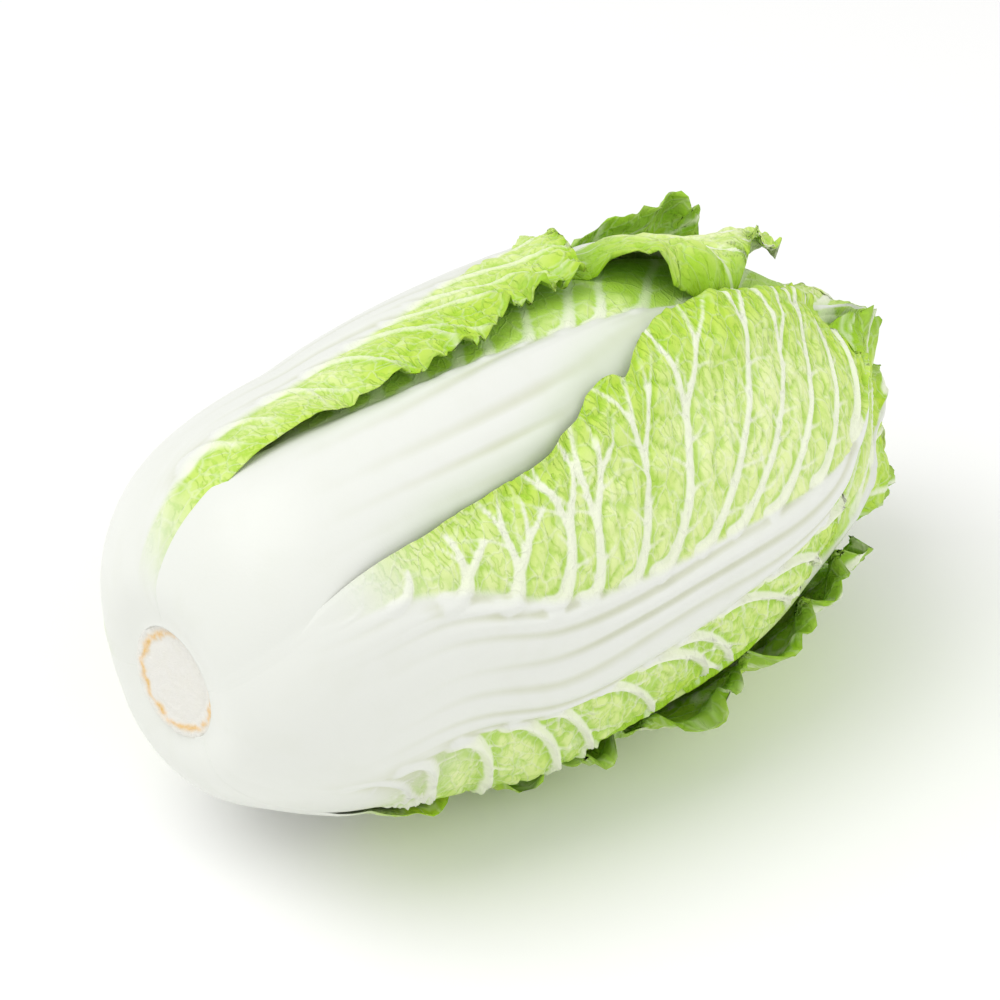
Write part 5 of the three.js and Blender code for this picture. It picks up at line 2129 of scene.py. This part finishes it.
@dataclass(frozen=True)
class FloorFinish:
    """The plain pale floor."""

    colour: Triple = (251, 251, 250)
    roughness: float = 0.95
    specular: float = 0.1

    def make(self) -> bpy.types.Material:
        """Builds the material.

        Returns:
            The material.
        """
        shader = Shader("studio_floor")
        shader.surface.inputs["Base Color"].default_value = linear(*self.colour)
        shader.surface.inputs["Roughness"].default_value = self.roughness
        shader.surface.inputs["Specular IOR Level"].default_value = self.specular
        return shader.material


# ---- The studio ----


@dataclass(frozen=True)
class Softbox:
    """A square area light: its place and size in metres, and its power in watts."""

    name: str
    place: Triple
    size: float
    power: float

    def hang(self, aim: Triple) -> None:
        """Hangs the light.

        Args:
            aim: what it faces.
        """
        data = bpy.data.lights.new(self.name, "AREA")
        data.size, data.energy = self.size, self.power
        lamp = bpy.data.objects.new(self.name, data)
        lamp.location = self.place
        lamp.rotation_mode = "QUATERNION"
        lamp.rotation_quaternion = (Vector(aim) - Vector(self.place)).to_track_quat("-Z", "Y")
        bpy.context.scene.collection.objects.link(lamp)


@dataclass(frozen=True)
class Studio:
    """The floor, soft lights and camera."""

    azimuth: float = -40.415
    elevation: float = 34.0
    distance: float = 1.1
    aim: Triple = (0.0088, 0.0085, 0.0817)
    lens: float = 117.6
    sensor: float = 36.0
    sky_strength: float = 0.74
    floor_half: float = 6
    floor_height: float = -0.0002
    softboxes: tuple[Softbox, ...] = (
        Softbox("key_softbox", (-0.7, 0.35, 1.5), 1.3, 12.5),
        Softbox("front_softbox", (0.4, -1.6, 1.2), 1.4, 4.6),
        Softbox("low_softbox", (1.3, -0.9, 0.3), 0.9, 2.4),
    )

    def build(self) -> None:
        """Sets up the stage."""
        self.floor()
        self.sky()
        for softbox in self.softboxes:
            softbox.hang(self.aim)
        self.camera()

    def floor(self) -> None:
        """Lays the floor under the head."""
        mesh = bpy.data.meshes.new("floor")
        signs = ((-1, -1), (1, -1), (1, 1), (-1, 1))
        corners = [(x * self.floor_half, y * self.floor_half, self.floor_height) for x, y in signs]
        mesh.from_pydata(corners, [], [(0, 1, 2, 3)])
        floor = bpy.data.objects.new("floor", mesh)
        floor.data.materials.append(FloorFinish().make())
        bpy.context.scene.collection.objects.link(floor)

    def sky(self) -> None:
        """Fills the room with even light."""
        world = bpy.data.worlds.new("studio")
        world.use_nodes = True
        background = world.node_tree.nodes["Background"]
        background.inputs["Color"].default_value = (1.0, 1.0, 1.0, 1.0)
        background.inputs["Strength"].default_value = self.sky_strength
        bpy.context.scene.world = world

    def camera(self) -> None:
        """Places the camera."""
        turn, rise = math.radians(self.azimuth), math.radians(self.elevation)
        back = Vector((math.sin(turn) * math.cos(rise), -math.cos(turn) * math.cos(rise), math.sin(rise)))
        data = bpy.data.cameras.new("camera")
        data.lens, data.sensor_width = self.lens, self.sensor
        camera = bpy.data.objects.new("camera", data)
        camera.location = Vector(self.aim) + back * self.distance
        camera.rotation_mode = "QUATERNION"
        camera.rotation_quaternion = (-back).to_track_quat("-Z", "Y")
        bpy.context.scene.collection.objects.link(camera)
        bpy.context.scene.camera = camera


# ---- The scene ----


def dress(piece: bpy.types.Object, node: str, material: bpy.types.Material) -> None:
    """Gives a piece its material and lets it stand for its solid.

    Args:
        piece: the fine piece.
        node: the solid that it stands for.
        material: its finish.
    """
    piece.data.materials.append(material)
    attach(piece, "root")
    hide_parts(node)
    LOG.info("dressed %s with %s", piece.name, material.name)


def main() -> None:
    """Builds the head and the studio round it."""
    logging.basicConfig(level=logging.INFO, format="%(name)s: %(message)s")
    scene = bpy.context.scene
    scene.view_settings.view_transform = "Standard"
    sizes = HeadSizes()
    Studio().build()
    dress(Stem(sizes).build(), "stem", StemFinish().make())
    greens = {form.name: form.green for form in LEAVES}
    heart = LeafFinish("heart_leaf_tissue", 0.3).make()
    for name, piece in Head(sizes).build().items():
        if name in greens:
            dress(piece, name, LeafFinish(f"{name}_tissue", greens[name]).make())
        else:
            dress(piece, "heart", heart)


if __name__ == "__main__":
    main()
